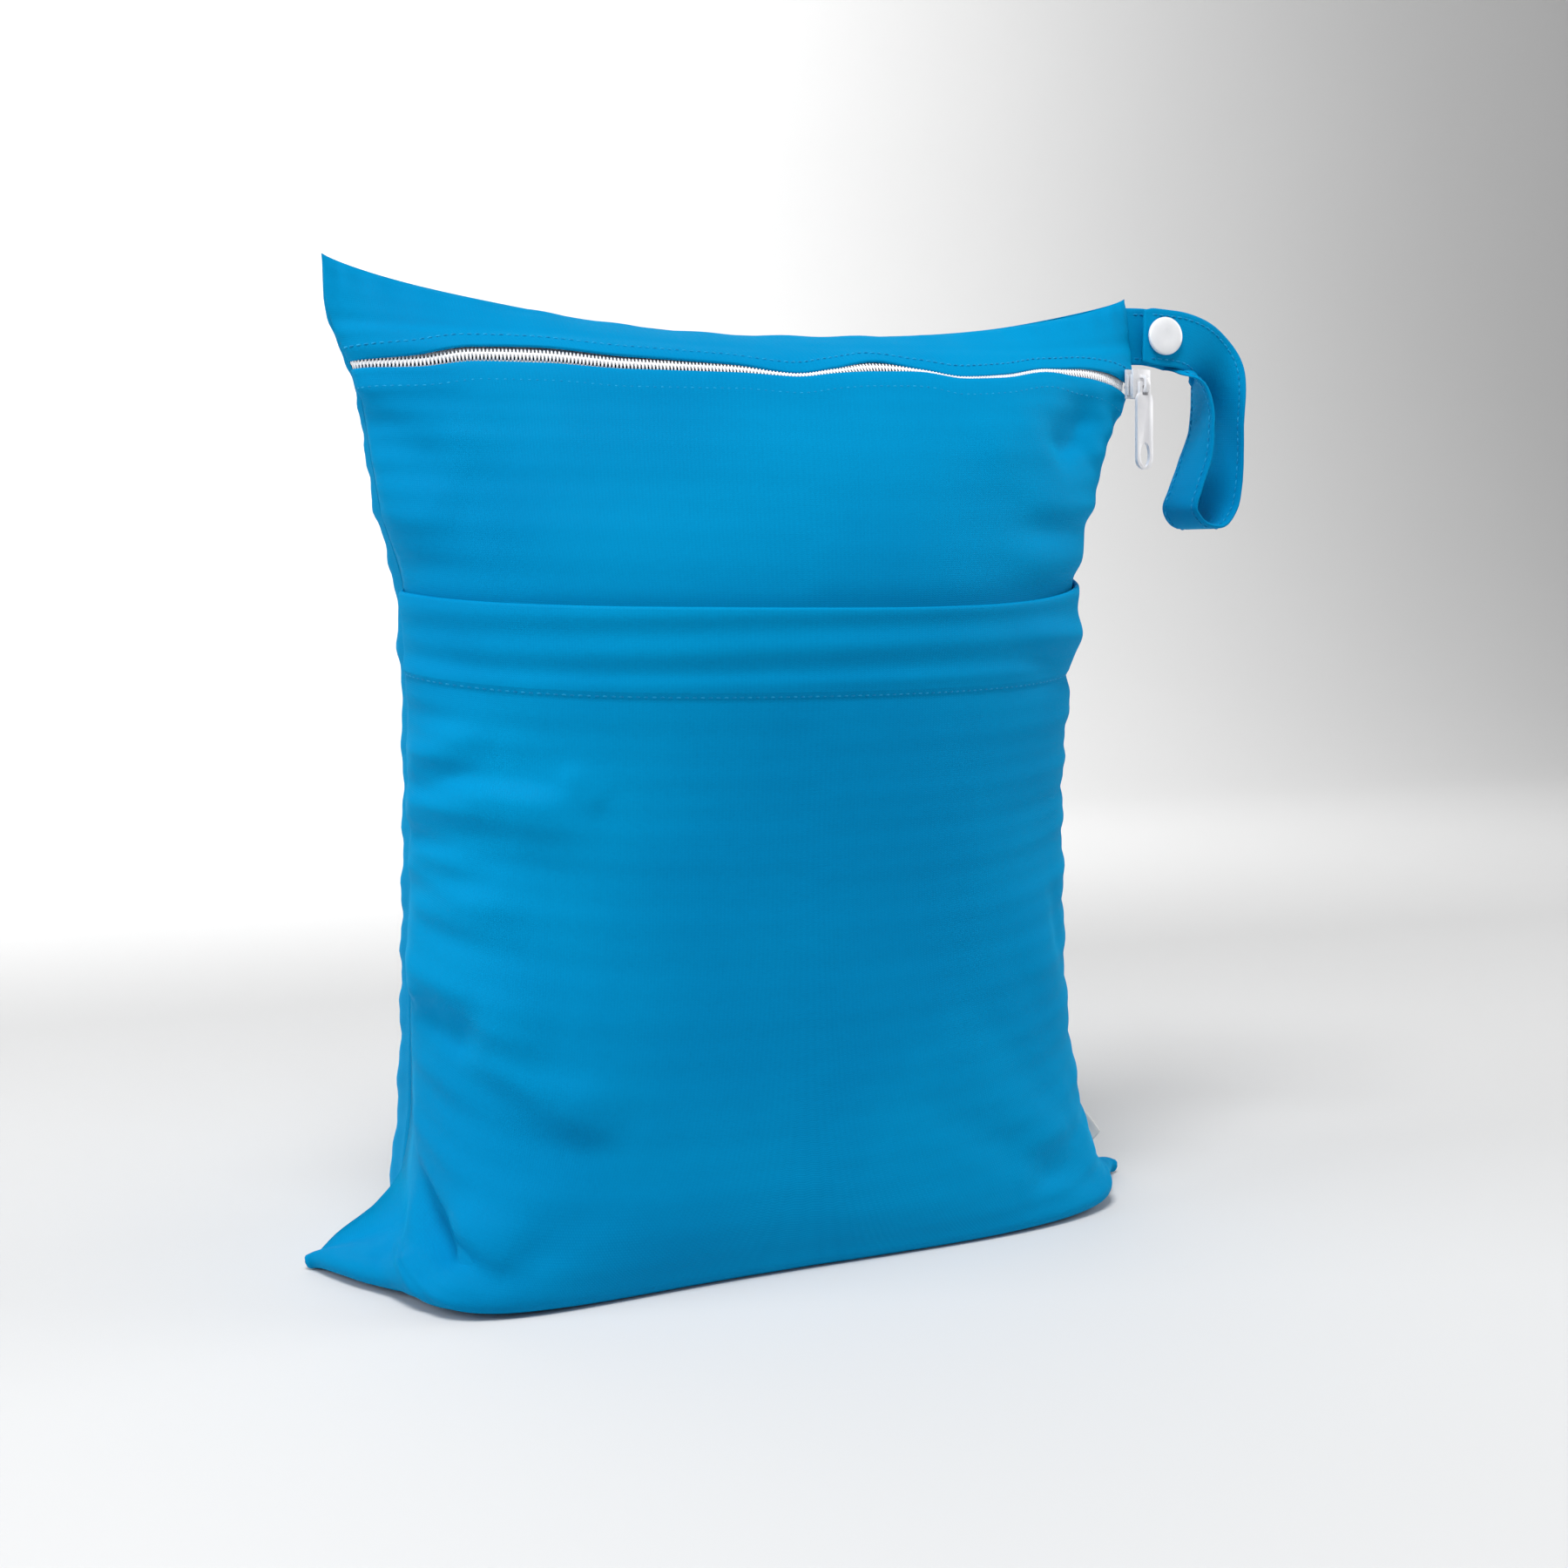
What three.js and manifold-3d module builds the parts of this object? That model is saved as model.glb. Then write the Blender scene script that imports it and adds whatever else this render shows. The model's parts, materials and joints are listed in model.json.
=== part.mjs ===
// A zipped wet bag of coated knit cloth, stuffed and standing on its base: front panel, top strip and back panel,
// an open pocket on the front, a coil zipper with slider and pull, a wrist strap closed by a snap, and a side label.
// Millimetres, +Z up. The front faces -Y, and the origin is at the middle of the base of the whole part's box.
import * as THREE from "three";
import { mergeVertices } from "three/addons/utils/BufferGeometryUtils.js";
import Module from "manifold-3d";

const wasm = await Module();
wasm.setup();

// The stuffed bag
const bagWidth = 293; // ear tip to ear tip
const bagHeight = 320; // the floor to the tips of the upper ears
const frontDepth = 62; // how far the front stands out from the side seams
const backDepth = 56;
const panelHeight = 378; // the cut panel, from the bottom seam to the top edge
const clothThickness = 1.2;
const sewnGap = 0.3; // between two pieces that are sewn or set together

// The pocket and the zipper, measured on the cut panel
const pocketHeight = 260;
const hemHeight = 26.5;
const mouthGape = 9; // the pocket's mouth stands this far off the front panel
const gapeReach = 95; // and closes on it this far below the mouth
const topStripHeight = 29;
const slotHeight = 7.2;
const chainWidth = 5.8;
const chainThickness = 2;
const tapeThickness = 0.8;
const chainTurnLength = 24; // the end of the chain that rises out of its slot into the slider
const chainLead = 1.2; // how far the chain reaches past the slider's middle

// Small creases that the stuffing leaves along the side seams
const puckerHeight = 1.8;
const puckerSpacing = 41;

// The wrist strap, its snap and the label
const strapWidth = 21;
const strapThickness = 1.8;
const snapCapDiameter = 14;
const snapCapHeight = 2.4;
const snapCoreDiameter = 9.5;
const snapCoreHeight = 2.9;
const labelHeight = 15;
const labelWidth = 7;
const labelThickness = 0.8;

// The slider and its pull
const sliderLength = 10.5;
const sliderWidth = 8.4;
const plateThickness = 1;
const crownWidth = 2;
const crownThickness = 1.1;
const pullLength = 31;
const pullWidth = 7.6;
const pullThickness = 1.3;
const pullClearance = 0.35;

// Facets
const panelColumns = 20;
const pocketRows = 26;
const upperRows = 10;
const stripRows = 4;
const strapSteps = 54;
const roundSteps = 24;

// The line down the middle of the front and back: where it lies along the cut panel, its depth as a share of
// frontDepth and backDepth, its height as a share of bagHeight, how square the section's left and right ends are
// there, how fast the cloth falls from the side seam to the middle, and how far the front swells past the seams.
const profileRows = [
  { along: 0.0, front: 0.0, back: 0.0, rise: 0.0, squareLeft: 2.8, squareRight: 2.5, fall: 0.3, swell: 0.03 },
  { along: 0.06, front: 0.5, back: 0.38, rise: 0.0, squareLeft: 4.2, squareRight: 3.6, fall: 0.2, swell: 0.1 },
  { along: 0.126, front: 0.92, back: 0.77, rise: 0.0, squareLeft: 4.8, squareRight: 3.8, fall: 0.22, swell: 0.11 },
  { along: 0.156, front: 0.97, back: 0.92, rise: 0.019, squareLeft: 4.4, squareRight: 3.4, fall: 0.35, swell: 0.08 },
  { along: 0.214, front: 1.0, back: 1.0, rise: 0.088, squareLeft: 3.3, squareRight: 2.8, fall: 0.6, swell: 0.03 },
  { along: 0.3, front: 1.0, back: 1.0, rise: 0.188, squareLeft: 2.7, squareRight: 2.5, fall: 1.0, swell: 0.0 },
  { along: 0.431, front: 0.985, back: 0.98, rise: 0.344, squareLeft: 2.4, squareRight: 2.3, fall: 1.0, swell: 0.0 },
  { along: 0.563, front: 0.955, back: 0.94, rise: 0.5, squareLeft: 2.35, squareRight: 2.25, fall: 1.0, swell: 0.0 },
  { along: 0.688, front: 0.9, back: 0.87, rise: 0.645, squareLeft: 2.35, squareRight: 2.25, fall: 1.0, swell: 0.0 },
  { along: 0.807, front: 0.735, back: 0.7, rise: 0.781, squareLeft: 2.25, squareRight: 2.25, fall: 1.1, swell: 0.0 },
  { along: 0.86, front: 0.62, back: 0.56, rise: 0.84, squareLeft: 2.2, squareRight: 2.2, fall: 1.2, swell: 0.0 },
  { along: 0.915, front: 0.475, back: 0.42, rise: 0.893, squareLeft: 2.15, squareRight: 2.15, fall: 1.3, swell: 0.0 },
  { along: 0.96, front: 0.25, back: 0.23, rise: 0.921, squareLeft: 2.1, squareRight: 2.1, fall: 1.45, swell: 0.0 },
  { along: 1.0, front: 0.0, back: 0.0, rise: 0.937, squareLeft: 2.0, squareRight: 2.0, fall: 1.6, swell: 0.0 },
];

// The two side seams: their distance from the middle as shares of half of bagWidth, their heights as shares of
// bagHeight, and how far they lie in front of the middle plane as a share of frontDepth.
const seamRows = [
  { along: 0.0, left: 0.997, right: 0.993, leftRise: 0.003, rightRise: 0.003, forward: 0.0 },
  { along: 0.03, left: 0.948, right: 0.94, leftRise: 0.025, rightRise: 0.016, forward: 0.0 },
  { along: 0.07, left: 0.857, right: 0.875, leftRise: 0.056, rightRise: 0.038, forward: 0.03 },
  { along: 0.12, left: 0.803, right: 0.825, leftRise: 0.092, rightRise: 0.075, forward: 0.06 },
  { along: 0.2, left: 0.787, right: 0.79, leftRise: 0.16, rightRise: 0.144, forward: 0.09 },
  { along: 0.3, left: 0.789, right: 0.772, leftRise: 0.26, rightRise: 0.244, forward: 0.1 },
  { along: 0.45, left: 0.789, right: 0.77, leftRise: 0.419, rightRise: 0.41, forward: 0.1 },
  { along: 0.618, left: 0.796, right: 0.795, leftRise: 0.59, rightRise: 0.584, forward: 0.1 },
  { along: 0.688, left: 0.806, right: 0.815, leftRise: 0.668, rightRise: 0.684, forward: 0.1 },
  { along: 0.76, left: 0.853, right: 0.875, leftRise: 0.744, rightRise: 0.753, forward: 0.09 },
  { along: 0.83, left: 0.88, right: 0.928, leftRise: 0.816, rightRise: 0.82, forward: 0.07 },
  { along: 0.875, left: 0.895, right: 0.975, leftRise: 0.86, rightRise: 0.862, forward: 0.05 },
  { along: 0.915, left: 0.922, right: 1.018, leftRise: 0.899, rightRise: 0.902, forward: 0.03 },
  { along: 0.955, left: 0.96, right: 1.03, leftRise: 0.94, rightRise: 0.945, forward: 0.01 },
  { along: 1.0, left: 0.976, right: 1.03, leftRise: 1.0, rightRise: 1.0, forward: 0.0 },
];

// The front's main folds: the middle of each as shares across and along the panel, the direction that it runs in,
// in degrees up from the right, its length and width as shares of panelHeight, and its height (a dent's is
// negative) as a share of frontDepth.
const foldRows = [
  { across: 0.13, along: 0.14, heading: -42, length: 0.16, width: 0.035, height: -0.09 },
  { across: 0.1, along: 0.085, heading: 75, length: 0.08, width: 0.025, height: 0.06 },
  { across: 0.24, along: 0.35, heading: -38, length: 0.2, width: 0.05, height: 0.035 },
  { across: 0.2, along: 0.53, heading: -20, length: 0.16, width: 0.045, height: 0.03 },
  { across: 0.17, along: 0.43, heading: -12, length: 0.14, width: 0.04, height: 0.028 },
  { across: 0.8, along: 0.38, heading: 48, length: 0.18, width: 0.045, height: 0.03 },
  { across: 0.22, along: 0.83, heading: -30, length: 0.2, width: 0.045, height: -0.035 },
  { across: 0.85, along: 0.85, heading: 50, length: 0.12, width: 0.04, height: -0.05 },
];

// The strap's route from the side seam, round its loop and back to the snap: how far it is to the right of the
// seam, in front of it and above its middle there, in strap widths. Its width turns from upright towards the back by
// the degrees in turn, in a plane that yaw swings from straight back towards the left.
const strapRows = [
  { right: 0.0, front: 0.0, up: 0.0, turn: 0, yaw: 0 },
  { right: 0.35, front: 0, up: 0, turn: 0, yaw: 0 },
  { right: 0.9, front: 0, up: -0.13, turn: 0, yaw: 0 },
  { right: 1.17, front: 0.0, up: -0.38, turn: 24, yaw: -6 },
  { right: 1.36, front: 0.02, up: -0.68, turn: 48, yaw: -10 },
  { right: 1.46, front: 0.04, up: -1.15, turn: 72, yaw: -10 },
  { right: 1.44, front: 0.05, up: -1.62, turn: 86, yaw: -8 },
  { right: 1.32, front: 0.05, up: -2.12, turn: 90, yaw: 2 },
  { right: 1.12, front: 0.04, up: -2.66, turn: 90, yaw: 3 },
  { right: 1.04, front: 0.0, up: -3.02, turn: 90, yaw: 4 },
  { right: 1.26, front: -0.04, up: -3.28, turn: 90, yaw: 8 },
  { right: 1.6, front: -0.08, up: -3.3, turn: 90, yaw: 14 },
  { right: 1.86, front: -0.12, up: -2.98, turn: 90, yaw: 18 },
  { right: 1.98, front: -0.15, up: -2.5, turn: 92, yaw: 18 },
  { right: 2.07, front: -0.16, up: -2.02, turn: 96, yaw: 9 },
  { right: 2.06, front: -0.13, up: -1.5, turn: 108, yaw: 4 },
  { right: 1.94, front: -0.06, up: -0.98, turn: 128, yaw: 6 },
  { right: 1.7, front: 0.06, up: -0.5, turn: 152, yaw: 8 },
  { right: 1.35, front: 0.19, up: -0.2, turn: 170, yaw: 4 },
  { right: 0.95, front: 0.25, up: -0.06, turn: 180, yaw: 0 },
  { right: 0.55, front: 0.25, up: -0.02, turn: 180, yaw: 0 },
  { right: 0.12, front: 0.25, up: 0.0, turn: 180, yaw: 0 },
];

const halfWidth = bagWidth / 2;
const mouthAlong = pocketHeight / panelHeight;
const hemAlong = (pocketHeight - hemHeight) / panelHeight;
const upperLipAlong = 1 - topStripHeight / panelHeight;
const lowerLipAlong = 1 - (topStripHeight + slotHeight) / panelHeight;
const zipAlong = (upperLipAlong + lowerLipAlong) / 2;
const FRONT = -1;
const BACK = 1;

const mix = (a, b, share) => a + (b - a) * share;
const smooth = (share) => {
  const t = Math.min(1, Math.max(0, share));
  return t * t * (3 - 2 * t);
};

// A smooth curve through one column of a table that never overshoots its rows.
function curveOf(rows, column) {
  const at = rows.map((row) => row.along);
  const value = rows.map((row) => row[column]);
  const step = at.slice(1).map((a, i) => a - at[i]);
  const rise = step.map((h, i) => (value[i + 1] - value[i]) / h);
  const slope = value.map((_, i) => {
    if (i === 0) return rise[0];
    if (i === rise.length) return rise[i - 1];
    if (rise[i - 1] * rise[i] <= 0) return 0;
    const before = 2 * step[i] + step[i - 1];
    const after = step[i] + 2 * step[i - 1];
    return (before + after) / (before / rise[i - 1] + after / rise[i]);
  });
  return (along) => {
    let i = 0;
    while (i < rise.length - 1 && along > at[i + 1]) i += 1;
    const t = (along - at[i]) / step[i];
    const square = t * t;
    const cube = square * t;
    return (
      (2 * cube - 3 * square + 1) * value[i] +
      (cube - 2 * square + t) * step[i] * slope[i] +
      (3 * square - 2 * cube) * value[i + 1] +
      (cube - square) * step[i] * slope[i + 1]
    );
  };
}

const profile = {};
for (const column of ["front", "back", "rise", "squareLeft", "squareRight", "fall", "swell"])
  profile[column] = curveOf(profileRows, column);
const seam = {};
for (const column of ["left", "right", "leftRise", "rightRise", "forward"])
  seam[column] = curveOf(seamRows, column);

// The front's base lies on the pocket's cloth, so it is that much higher than the back's.
const pocketLift = clothThickness + sewnGap;
// The stuffing leans to the left of the front, and has sunk into its lower left end.
const leftFullness = 0.2;
const sunkFullness = 0.5;

// The inner face of a panel before its folds, at shares across it from the left and along it from the bottom.
function shellPoint(side, across, along) {
  const turn = Math.PI * (1 - across);
  const square = across < 0.5 ? profile.squareLeft(along) : profile.squareRight(along);
  const reach = Math.sign(Math.cos(turn)) * Math.abs(Math.cos(turn)) ** (2 / square);
  const arch = Math.max(0, Math.sin(turn));
  const bulge = arch ** (2 / square);
  const settled = arch ** profile.fall(along);
  const lift = side === FRONT ? pocketLift : 0;
  const spread = side === FRONT ? 1 + profile.swell(along) * bulge : 1;
  const x = mix(-halfWidth * seam.left(along), halfWidth * seam.right(along), (reach + 1) / 2) * spread;
  const seamZ = bagHeight * mix(seam.leftRise(along), seam.rightRise(along), (reach + 1) / 2);
  const middleZ = Math.max(bagHeight * profile.rise(along), lift);
  const depth = side === FRONT ? frontDepth * profile.front(along) : backDepth * profile.back(along);
  const sunk = sunkFullness * (1 - along) ** 4 * Math.min(0, reach) ** 2;
  const fullness = side === FRONT ? 1 + sunk - leftFullness * reach * (1 - along) ** 2 : 1;
  const seamY = -frontDepth * seam.forward(along);
  const y = seamY + (side * depth - seamY) * bulge * fullness;
  return new THREE.Vector3(x, y, mix(seamZ, middleZ, settled));
}

// The outward direction of a panel there.
function outward(side, across, along) {
  const probe = 0.004;
  const a = Math.min(1 - 2 * probe, Math.max(2 * probe, across));
  const v = Math.min(1 - probe, Math.max(probe, along));
  const rightward = shellPoint(side, a + probe, v).sub(shellPoint(side, a - probe, v));
  const upward = shellPoint(side, a, v + probe).sub(shellPoint(side, a, v - probe));
  return rightward.cross(upward).normalize().multiplyScalar(-side);
}

// Puckers beside the side seams, and the front's folds.
function relief(side, across, along) {
  const arch = Math.max(0, Math.sin(Math.PI * across));
  const beside = 4 * arch * (1 - arch);
  const upTheSide = smooth(along / 0.2) * smooth((1 - along) / 0.12);
  const wave = Math.cos((2 * Math.PI * along * panelHeight) / puckerSpacing + side);
  const offFloor = smooth(shellPoint(side, across, along).z / 14 - 0.2);
  let height = puckerHeight * beside * upTheSide * wave;
  if (side === BACK) return height;
  for (const fold of foldRows) {
    const heading = THREE.MathUtils.degToRad(fold.heading);
    const right = ((across - fold.across) * bagWidth) / panelHeight;
    const up = along - fold.along;
    const onward = (right * Math.cos(heading) + up * Math.sin(heading)) / (fold.length / 2);
    const sideways = (up * Math.cos(heading) - right * Math.sin(heading)) / fold.width;
    height += fold.height * frontDepth * Math.exp(-(onward ** 2) - sideways ** 2) * smooth(arch * 4) * offFloor;
  }
  return height;
}

// A point at that distance outside the inner face of a panel.
function clothPoint(side, across, along, out) {
  const point = shellPoint(side, across, along);
  point.y += (side * sewnGap) / 2;
  return point.addScaledVector(outward(side, across, along), relief(side, across, along) + out);
}

const spaced = (from, to, count) => Array.from({ length: count + 1 }, (_, i) => mix(from, to, i / count));

// A closed solid between two grids of points, the second one outside the first. A flipped one is on the back.
function sheetBetween(inner, outer, flipped) {
  const rows = inner.length;
  const columns = inner[0].length;
  const points = [...inner.flat(), ...outer.flat()];
  const index = [];
  const quad = (a, b, c, d) => {
    if (flipped) index.push(a, c, b, a, d, c);
    else index.push(a, b, c, a, c, d);
  };
  const inside = (row, column) => row * columns + column;
  const outside = (row, column) => rows * columns + row * columns + column;
  for (let r = 0; r < rows - 1; r += 1) {
    for (let c = 0; c < columns - 1; c += 1) {
      quad(outside(r, c), outside(r, c + 1), outside(r + 1, c + 1), outside(r + 1, c));
      quad(inside(r, c), inside(r + 1, c), inside(r + 1, c + 1), inside(r, c + 1));
    }
    quad(inside(r, 0), outside(r, 0), outside(r + 1, 0), inside(r + 1, 0));
    const end = columns - 1;
    quad(outside(r, end), inside(r, end), inside(r + 1, end), outside(r + 1, end));
  }
  for (let c = 0; c < columns - 1; c += 1) {
    const top = rows - 1;
    quad(inside(0, c), inside(0, c + 1), outside(0, c + 1), outside(0, c));
    quad(outside(top, c), outside(top, c + 1), inside(top, c + 1), inside(top, c));
  }
  const geometry = new THREE.BufferGeometry();
  geometry.setAttribute("position", new THREE.Float32BufferAttribute(points.flatMap((p) => p.toArray()), 3));
  geometry.setIndex(index);
  return geometry;
}

// A cloth piece on one side of the bag. Its two faces lie at the distances that out and thick give.
function clothPiece(side, acrosses, alongs, out, thick) {
  const grid = (extra) =>
    alongs.map((along) =>
      acrosses.map((across) => clothPoint(side, across, along, out(across, along) + extra(across, along))),
    );
  return sheetBetween(grid(() => 0), grid(thick), side === BACK);
}

// Cloth and webbing are drawn without gloss, and the zipper's hard pieces with a little.
const bagBlue = 0x0590cf;
const cloth = (color) => new THREE.MeshStandardMaterial({ color, roughness: 0.78, metalness: 0 });
const enamel = new THREE.MeshStandardMaterial({ color: 0xe9eaee, roughness: 0.4, metalness: 0.1 });
const nylon = new THREE.MeshStandardMaterial({ color: 0xe4e6ea, roughness: 0.55, metalness: 0 });
const resin = new THREE.MeshStandardMaterial({ color: 0xf2f4f7, roughness: 0.35, metalness: 0 });

const bag = new THREE.Group();

function add(name, geometry, material, parent = bag) {
  const mesh = new THREE.Mesh(geometry, material);
  mesh.name = name;
  parent.add(mesh);
  return mesh;
}

const columns = spaced(0, 1, panelColumns);
const lowerAlongs = spaced(0, mouthAlong, pocketRows);
const upperAlongs = spaced(mouthAlong, lowerLipAlong, upperRows).slice(1);
const stripAlongs = spaced(upperLipAlong, 1, stripRows);
const flush = () => 0;
const oneCloth = () => clothThickness;

function buildPanels() {
  add("front_panel", clothPiece(FRONT, columns, [...lowerAlongs, ...upperAlongs], flush, oneCloth), cloth(bagBlue));
  add("top_strip", clothPiece(FRONT, columns, stripAlongs, flush, oneCloth), cloth(bagBlue));
  add("back_panel", clothPiece(BACK, columns, [...lowerAlongs, ...upperAlongs, ...stripAlongs], flush, oneCloth), cloth(bagBlue));
}

// The pocket lies on the front panel, stands off it at its mouth, and has a turned hem of two layers.
function buildPocket() {
  const standOff = (across, along) => {
    const below = ((mouthAlong - along) * panelHeight) / gapeReach;
    const open = Math.max(0, 1 - below) ** 1.6 * Math.sin(Math.PI * across) ** 3;
    return clothThickness + sewnGap + (mouthGape - sewnGap) * open;
  };
  const layers = (across, along) => clothThickness * (along > hemAlong ? 2 : 1);
  add("pocket_panel", clothPiece(FRONT, columns, lowerAlongs, standOff, layers), cloth(bagBlue));
}

// The slider hangs at the right end of the zipper, proud of the cloth, and faces a little to the right.
const sliderAcross = 0.915;
const sliderFacing = THREE.MathUtils.degToRad(12);
const sliderDrop = 0.9; // below the chain's middle
const sliderProud = 2.4;
const chainStart = 0.05;
const chainTurn = 0.84; // where the chain starts to rise out of its slot
const channelHeight = chainThickness + 0.5;
const rightward = new THREE.Vector3(Math.cos(sliderFacing), Math.sin(sliderFacing), 0);
const facing = new THREE.Vector3(Math.sin(sliderFacing), -Math.cos(sliderFacing), 0);
const sliderStand = clothThickness + sewnGap + plateThickness + channelHeight / 2 + sliderProud;
const chainTip = clothPoint(FRONT, sliderAcross, zipAlong, sliderStand);

function buildZipper() {
  const half = chainWidth / 2;
  const turnSteps = 8;
  const acrosses = [...spaced(chainStart, chainTurn, panelColumns - 2), ...spaced(chainTurn, 1, turnSteps).slice(1)];
  const chainPoint = (a, up, out) => {
    const turned = Math.max(0, (a - chainTurn) / (1 - chainTurn));
    const inSlot = clothPoint(FRONT, mix(a, sliderAcross, smooth(turned)), zipAlong + up / panelHeight, out);
    const inSlider = chainTip.clone().addScaledVector(rightward, chainLead - chainTurnLength * (1 - turned));
    inSlider.addScaledVector(facing, out - chainThickness / 2);
    inSlider.z += up;
    return inSlot.lerp(inSlider, smooth(1.25 * turned));
  };
  const grid = (out) => [-half, half].map((up) => acrosses.map((a) => chainPoint(a, up, out)));
  add("zipper_chain", sheetBetween(grid(0), grid(chainThickness), false), nylon);
  const split = sewnGap / panelHeight;
  const tape = (alongs) => {
    const grid = (extra) =>
      alongs.map((along) =>
        columns.slice(1, -1).map((a) => clothPoint(FRONT, a, along, extra - sewnGap - tapeThickness)),
      );
    return sheetBetween(grid(0), grid(tapeThickness), false);
  };
  const belowSlot = upperAlongs.slice(-2);
  add("zipper_tape_upper", tape([zipAlong + split, ...stripAlongs.slice(0, 2)]), cloth(0xe6e8ec));
  add("zipper_tape_lower", tape([...belowSlot, zipAlong - split]), cloth(0xe6e8ec));
}

// A three.js geometry as a solid that can be joined and cut, and back.
function solidOf(geometry) {
  const bare = geometry.index ? geometry.toNonIndexed() : geometry.clone();
  for (const name of Object.keys(bare.attributes)) if (name !== "position") bare.deleteAttribute(name);
  const merged = mergeVertices(bare, 1e-4);
  return new wasm.Manifold(
    new wasm.Mesh({
      numProp: 3,
      vertProperties: merged.attributes.position.array,
      triVerts: new Uint32Array(merged.index.array),
    }),
  );
}

function geometryOf(solid) {
  const { vertProperties, triVerts } = solid.getMesh();
  const geometry = new THREE.BufferGeometry();
  geometry.setAttribute("position", new THREE.Float32BufferAttribute(vertProperties, 3));
  geometry.setIndex(Array.from(triVerts));
  return geometry;
}

const block = (sizeX, sizeY, sizeZ, x, y, z) => solidOf(new THREE.BoxGeometry(sizeX, sizeY, sizeZ).translate(x, y, z));

// The slider stands upright in its own frame: X across it, -Y out of the bag, Z up, with the pull's pin at the middle.
const pinRadius = 0.75;
const crownGap = 2 * pinRadius + 2 * pullClearance; // the room under the crown, which the pin turns in
const topPlateY = crownGap / 2; // the outer face of the slider's outer plate
const crownSpan = 6.4;

function buildSlider(parent) {
  const middleY = topPlateY + plateThickness + channelHeight / 2;
  const outerPlate = block(sliderWidth, plateThickness, sliderLength, 0, topPlateY + plateThickness / 2, 0);
  const innerY = middleY + channelHeight / 2 + plateThickness / 2;
  const innerPlate = block(sliderWidth, plateThickness, sliderLength, 0, innerY, 0);
  const neckLength = sliderLength * 0.3;
  const neck = block(3, channelHeight + plateThickness, neckLength, 0, middleY, -(sliderLength - neckLength) / 2);
  const crownOut = -crownGap / 2 - crownThickness;
  const crown = new THREE.Shape();
  crown.moveTo(topPlateY + plateThickness / 2, -crownSpan / 2);
  crown.lineTo(0, -crownSpan / 2);
  crown.quadraticCurveTo(crownOut, -crownSpan / 2, crownOut, 0);
  crown.quadraticCurveTo(crownOut, crownSpan / 2, 0, crownSpan / 2);
  crown.lineTo(topPlateY + plateThickness / 2, crownSpan / 2);
  const inside = crownSpan / 2 - crownThickness;
  crown.lineTo(topPlateY + plateThickness / 2, inside);
  crown.lineTo(topPlateY, inside);
  crown.lineTo(0, inside);
  crown.quadraticCurveTo(-crownGap / 2, inside, -crownGap / 2, 0);
  crown.quadraticCurveTo(-crownGap / 2, -inside, 0, -inside);
  crown.lineTo(topPlateY, -inside);
  crown.lineTo(topPlateY + plateThickness / 2, -inside);
  crown.closePath();
  const bent = new THREE.ExtrudeGeometry(crown, { depth: crownWidth, bevelEnabled: false, curveSegments: 5 });
  // The shape is drawn with Y out of the bag and Z up as its two axes, and is as deep as the crown is wide.
  bent.applyMatrix4(new THREE.Matrix4().set(0, 0, 1, -crownWidth / 2, 1, 0, 0, 0, 0, 1, 0, 0, 0, 0, 0, 1));
  const whole = outerPlate.add(innerPlate).add(neck).add(solidOf(bent));
  add("zipper_slider", geometryOf(whole), enamel, parent);
}

// The pull is a flat tab with a slot for the crown and a long round hole near its free end.
function buildPull(parent) {
  const slotWidth = crownWidth + 2 * pullClearance;
  const slotTop = -pinRadius;
  const slotBottom = -(crownSpan / 2 + pullClearance + 0.6);
  const shoulder = slotWidth / 2 + 1.3;
  const half = pullWidth / 2;
  const shoulderZ = slotBottom + 0.6;
  const taperEnd = slotBottom - 2.5;
  const outline = new THREE.Shape();
  outline.moveTo(-shoulder, pinRadius);
  outline.lineTo(-shoulder, shoulderZ);
  outline.quadraticCurveTo(-half, slotBottom - 0.5, -half, taperEnd);
  outline.absarc(0, -pullLength + half, half, Math.PI, 2 * Math.PI, false);
  outline.lineTo(half, taperEnd);
  outline.quadraticCurveTo(half, slotBottom - 0.5, shoulder, shoulderZ);
  outline.lineTo(shoulder, pinRadius);
  outline.closePath();
  const slot = new THREE.Path();
  slot.moveTo(-slotWidth / 2, slotTop);
  slot.lineTo(slotWidth / 2, slotTop);
  slot.lineTo(slotWidth / 2, slotBottom);
  slot.lineTo(-slotWidth / 2, slotBottom);
  slot.closePath();
  const rim = 1.4;
  const eyeCurve = new THREE.EllipseCurve(0, -pullLength + half + 1.6, half - rim, half - rim + 2, 0, 2 * Math.PI, true);
  const eye = new THREE.Path(eyeCurve.getPoints(16).slice(1));
  outline.holes.push(slot, eye);
  const tab = new THREE.ExtrudeGeometry(outline, { depth: pullThickness, bevelEnabled: false, curveSegments: 8 });
  tab.applyMatrix4(new THREE.Matrix4().set(1, 0, 0, 0, 0, 0, -1, pullThickness / 2, 0, 1, 0, 0, 0, 0, 0, 1));
  add("zipper_pull", tab, enamel, parent);
}

function buildSliderAndPull() {
  const hung = new THREE.Group();
  const channelToPin = topPlateY + plateThickness + channelHeight / 2;
  hung.position.copy(chainTip).addScaledVector(facing, channelToPin);
  hung.position.z -= sliderDrop;
  hung.rotation.z = sliderFacing;
  bag.add(hung);
  buildSlider(hung);
  buildPull(hung);
}

// The strap's middle and the direction of its width at a share of its length.
const strapAlong = 0.965; // where on the side seam the strap is sewn in
function strapRoot() {
  const edge = clothPoint(FRONT, 1, strapAlong, clothThickness);
  return new THREE.Vector3(edge.x + sewnGap * 3, -frontDepth * seam.forward(strapAlong), edge.z);
}

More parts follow.
